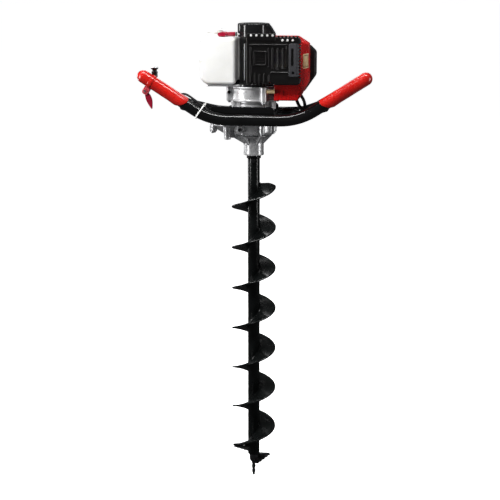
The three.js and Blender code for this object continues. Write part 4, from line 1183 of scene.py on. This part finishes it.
def make_cowl():
    """The red shroud, with its bevelled top, lower box, louvres and a blank foil plate."""
    low, high = node_box("engine_cowl")
    right, front, back, top, bottom = high[0], low[1], high[1], high[2], low[2]
    fold, bolt = 109, (-48, 62)

    def outline(inset):
        """The cowl from the front. Its two sloping edges move in half as far as the rest."""
        side, half = right - inset, inset / 2
        points = [(34, top - inset), (right - 25, top - inset), (side, top - 16 - half), (side, 78 + half)]
        points += [(right - 20 - half, bottom + inset), (58 + inset, bottom + inset)]
        return [*points, (58 + inset, 80), (34, 80 + inset)]

    def lean(inset):
        """What the slanted front corner takes off."""
        corners = [(fold, front), (right, 0), (right + 9, 0), (right + 9, front - 9), (106.65, front - 9)]
        return prism([(x - inset, y) for x, y in corners], "z", bottom - 1, top + 1)

    shell = bevelled(carve(prism(outline(0), "y", front, back), lean(0)), 2.6, 5, 12)
    shell = carve(
        shell,
        carve(prism(outline(2.5), "y", front + 2.5, back - 2.5), lean(2.5)),
        block((20, 37), (front - 1, back + 1), (bottom, top - 0.1)),
        slab((36, 105), (84, 166), 4, "y", front - 1, front + 3.5),
        slab((44, 100), (100, 150), 4, "y", back - 3.5, back + 1),
        block((20, 60), (front + 2.5, back - 2.5), (60, top - 2.5)),
        *[slab((x, x + 5), (-30, 30), 2.4, "z", top - 4, top + 1, 4) for x in (46, 56, 66, 76, 86)],
        *[slab((y, y + 5), (94, 108), 2.4, "x", right - 4, right + 1, 4) for y in (4, 14, 24, 34)],
        slab((70, 94), (50, 66), 3, "y", front - 1, front + 1.1),
    )
    thin_block = bevelled(block((50, 62), (front, front + 2.4), (bottom + 0.5, 79)), 0.8, 2)
    shell = bevelled(fuse(shell, thin_block), 0.3, 2, 45)
    piece(shell, "engine_cowl_moulded", "red", replaces="engine_cowl")
    on_lean = Matrix.Translation((fold, front, 0)) @ Matrix.Rotation(-atan2(12, 46), 4, "Z")
    foil = bevelled(slab((11.5, 46), (110.5, 142.5), 2, "x", -0.3, 0.5, 6), 0.2, 2)
    piece(moved(foil, on_lean), "cowl_foil_plate", "foil")
    rim = carve(
        slab((14, 43), (113.5, 139.5), 2, "x", 0.3, 0.8, 6),
        slab((15.6, 41.4), (115, 138), 1.5, "x", -1, 2, 6),
    )
    piece(moved(rim, on_lean), "cowl_foil_rim", "brass")
    piece(tube("x", 4.6, 2.4, 34, 52, bolt, 32), "cowl_mount_sleeve", "foil")
    head = merged([rod("x", 4.4, 22, 27, bolt, sides=6), rod("x", 2.2, 26, 50, bolt)])
    piece(head, "cowl_mount_bolt", "bar")


def make_tank():
    """The tank with its seam and filler, the knurled cap and the bracket below."""
    low, high = node_box("fuel_tank")
    left, right, y0, y1, bottom, top = low[0], high[0], low[1], high[1], low[2], 178
    filler = x, y = -90, 22
    body = fuse(
        bevelled(slab((left, right), (bottom, top), (8, 8, 20, 20), "y", y0, y1, 10), 7, 6, 50),
        slab((left, right - 4), (bottom + 49, bottom + 53), 1.2, "y", y0 + 0.2, y1 - 0.2, 2),
        rod("z", 15, top - 1, top + 7, filler, soft=0.8),
    )
    body = carve(body, rod("z", CASE_RADIUS + 1, bottom - 1, top + 1, sides=96))
    piece(body, "fuel_tank_moulded", "white", replaces="fuel_tank")
    knurl = [polar(17.2 if i // 2 % 2 else 16.4, angle, filler) for i, angle in enumerate(steps_round(120))]
    cap = fuse(
        bevelled(prism(knurl, "z", top + 7.3, top + 14), 0.4, 2, 60),
        rod("z", 15.6, top + 13, top + 15, filler, soft=0.7),
        block((x - 13, x + 13), (y - 2, y + 2), (top + 11, top + 15)),
    )
    piece(cap, "fuel_cap_moulded", "white", "tank_cap", "fuel_cap")
    low, high = node_box("tank_bracket")
    plate = carve(
        slab(*zip(low[:2], high[:2]), 7, "z", low[2], high[2]),
        rod("z", 44.3, low[2] - 1, high[2] + 1, sides=96),
    )
    piece(bevelled(plate, 0.6, 2), "tank_bracket_steel", "cast", replaces="tank_bracket")


def make_intake():
    """The carburettor with its throttle arm, and the air filter's cover with the choke lever."""
    z = CYLINDER_Z
    shaft, air_horn, choke_pivot = (64, 64), (63, z), (94, 110)
    body = fuse(
        block((50, 78), (42.3, 75.5), (z - 13, z + 13)),
        rod("z", 11, z - 22, z - 12, shaft),
        rod("z", 8, z - 24, z - 21, shaft),
        rod("z", 3, z + 12, z + 22, shaft),
        rod("x", 5, 46, 82, (58, z)),
        rod("y", 11, 43, 47, (64, z)),
        *[rod("y", 3.4, 43, 75, (x, z)) for x in (52, 76)],
    )
    body = carve(body, rod("y", 7, 42, 76.5, air_horn))
    piece(softened(body, 0.6, 2), "carburettor_body", "cast", replaces="carburettor")
    arm = carve(
        fuse(rod("z", 6, z + 15, z + 19, shaft), slab((44, 64), (61, 67), 2.8, "z", z + 15, z + 19)),
        rod("z", 3.5, z + 14, z + 20, shaft),
    )
    piece(bevelled(arm, 0.4, 2), "throttle_arm_plate", "zinc", "carburettor_throttle", "throttle_arm")

    low, high = node_box("air_filter_cover")
    left, right, front, back, bottom, top = 48, high[0], low[1], high[1], low[2], high[2]

    def outline(inset):
        inner, outer, floor, roof = left + inset, right - inset, bottom + inset, top - inset
        points = [(inner, bottom + 18), (left + 18, floor), (right - 26, floor), (outer, bottom + 37)]
        return [*points, (outer, top - 14), (right - 14, roof), (left + 12, roof), (inner, top - 12)]

    shell = fuse(
        bevelled(prism(outline(0), "y", front, back), 4, 5, 20),
        bevelled(slab((74, 110), (84, 126), 6, "y", back - 4, back - 0.2), 1, 3, 50),
    )
    rows = (132, 138.5, 62, 68.5)
    louvres = [slab((58, 118), (row, row + 3.4), 1.6, "y", back - 6.5, back + 1, 4) for row in rows]
    shell = carve(
        shell,
        prism(outline(2.5), "y", front + 2.5, back - 5),
        rod("y", 7, front - 1, front + 4, air_horn),
        *louvres,
        slab((80, 104), (90, 120), 4, "y", back - 1.4, back + 1),
    )
    piece(shell, "air_filter_cover_moulded", "black", replaces="air_filter_cover")
    knob = [(0, back - 2), (8, back - 2), (8, back - 1), (7.4, back - 0.2), (0, back - 0.1)]
    stub = rod("x", 3, left - 8, left + 2, choke_pivot, soft=0.4)
    piece(merged([lathe(knob, (92, 105), 48, "y"), stub]), "air_filter_knob", "grey")
    choke = carve(
        fuse(
            rod("x", 6, left - 6, left - 2, choke_pivot, soft=0.5),
            slab((91, 97), (110, 132), 2.6, "x", left - 6, left - 2),
        ),
        rod("x", 3.6, left - 10, left, choke_pivot),
    )
    piece(bevelled(choke, 0.5, 2), "choke_lever_moulded", "black", "choke", "choke_lever")


def make_lines():
    """The throttle cable, fuel line, spark plug lead, a captive vent hose and the cable's tie."""

    def on_arm(along, behind, above):
        x = BAR_CENTRE - FRONT_BEND - along * cos(SLOPE) + above * sin(SLOPE)
        return x, -BAR_Y + behind, along * sin(SLOPE) + above * cos(SLOPE)

    line_radius = 2.5
    cable = [
        on_arm(ARM - 28.4, 17.6, -4), on_arm(ARM - 50, 18, -2), on_arm(90, 18.5, 6),
        on_arm(74, 10, 17), on_arm(50, 8, 17.5), on_arm(24, 12, 15),
        (-93, -44, 15), (-80, -38, 22), (-66, -28, 22), (-57, -6, 21.6), (-54, 20, 21.6), (-46, 44, 22),
        (-40, 60, 24), (-36, 71, 38), (-22, 73, 62), (14, 74, 92), (27, 71, 120), (38, 68, 139),
    ]
    sheath = sweep(smooth_path(cable), line_radius, 20)
    piece(sheath, "throttle_cable_sheath", "rubber", replaces="throttle_cable")
    fuel = [
        (-62, 50.3, 92), (-62, 54, 92), (-58, 60, 90), (-36, 63, 83), (-4, 63, 80),
        (26, 64, 88), (38, 64, 108), (44, 64, 113), (49.6, 64, 113),
    ]
    piece(sweep(smooth_path(fuel), line_radius, 20), "fuel_hose", "rubber", replaces="fuel_line")
    vent = [(90, 28, 44), (93, 27, 36), (99, 24, 24), (107, 20, 18), (112, 18, 24), (110, 18, 36)]
    hose = smooth_path([*vent, (103, 20, 48)], 24)
    rings = [sweep(hose[i : i + 2], 3.9, 24) for i in range(3, len(hose) - 4, 4)]
    piece(merged([sweep(hose, 3.4, 24), *rings]), "vent_hose", "rubber")
    lead = [(112, 0, 124), (113, 6, 140), (100, 14, 167), (70, 16, 170), (42, 16, 167)]
    boot = [(4.9, 101), (7.4, 101), (7.6, 104), (6.8, 105), (7.6, 106), (7.5, 114), (6, 116), (0, 116.2)]
    boot = lathe([*boot, (0, 110), (4.9, 110)], (0, CYLINDER_Z), 40, "x")
    piece(merged([boot, sweep(smooth_path(lead), 3, 20)]), "plug_boot", "rubber", replaces="plug_cap")

    # The tie is drawn tight round the bar and the cable: it touches whichever stands further out.
    cable_at, bar_reach, cable_reach = Vector((11.6, 15.6)), TUBE + 0.7, line_radius + 0.9
    angles = steps_round(72)
    directions = [Vector(polar(1, angle)) for angle in angles]
    reaches = [max(bar_reach, cable_at.dot(direction) + cable_reach) for direction in directions]
    strap = []
    for i, direction in enumerate(directions):
        slope = (reaches[(i + 1) % 72] - reaches[i - 1]) / (2 * angles[1])
        point = direction * reaches[i] + Vector((-direction.y, direction.x)) * slope
        strap.append((-27, point.x, point.y))
    band = sweep(strap, 1, closed=True, section=[(-1.9, -0.55), (1.9, -0.55), (1.9, 0.55), (-1.9, 0.55)])
    head = block((-29.6, -24.4), (9.5, 14.5), (18.6, 22), 0.8)
    tail = block((-28.4, -25.6), (12.6, 13.6), (20, 26), 0.4)
    piece(moved(merged([band, head, tail]), arm_frame(-1)), "cable_tie", "nylon")


# ---- CAD pieces that show as they are, with finer finishes ----

CARRIED = {
    "steel": [
        "output_shaft", "output_gear", "output_bearing", "input_bearing", "input_pinion_shaft",
        "clutch_drum", "intermediate_pinion_shaft", "intermediate_gear", "clutch_shoe_left",
        "clutch_shoe_right", "crank_upper_half", "crank_lower_half", "crankpin", "connecting_rod",
        "wrist_pin", "spark_plug",
    ],
    "cast": ["cylinder", "piston", "flywheel_fan"],
    "rubber": ["output_seal"],
    "black": ["ignition_coil", "starter_pulley"],
    "foam": ["air_filter_element"],
    "heat": ["muffler"],
}


def finish_carried():
    """Gives the CAD pieces that show as they are their materials."""
    for material, names in CARRIED.items():
        for name in names:
            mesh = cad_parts[name].data
            mesh.materials.clear()
            mesh.materials.append(M[material])


make_camera()
make_studio()
make_floor(M["floor"])
make_handlebar()
for side, grip_name in ((-1, "left_grip"), (1, "right_grip")):
    make_grip(side, grip_name)
for make in (make_throttle, make_mounts, make_gearbox, make_bit, make_clutch_housing, make_crankcase):
    make()
for make in (make_starter, make_guard, make_cowl, make_tank, make_intake, make_lines, finish_carried):
    make()
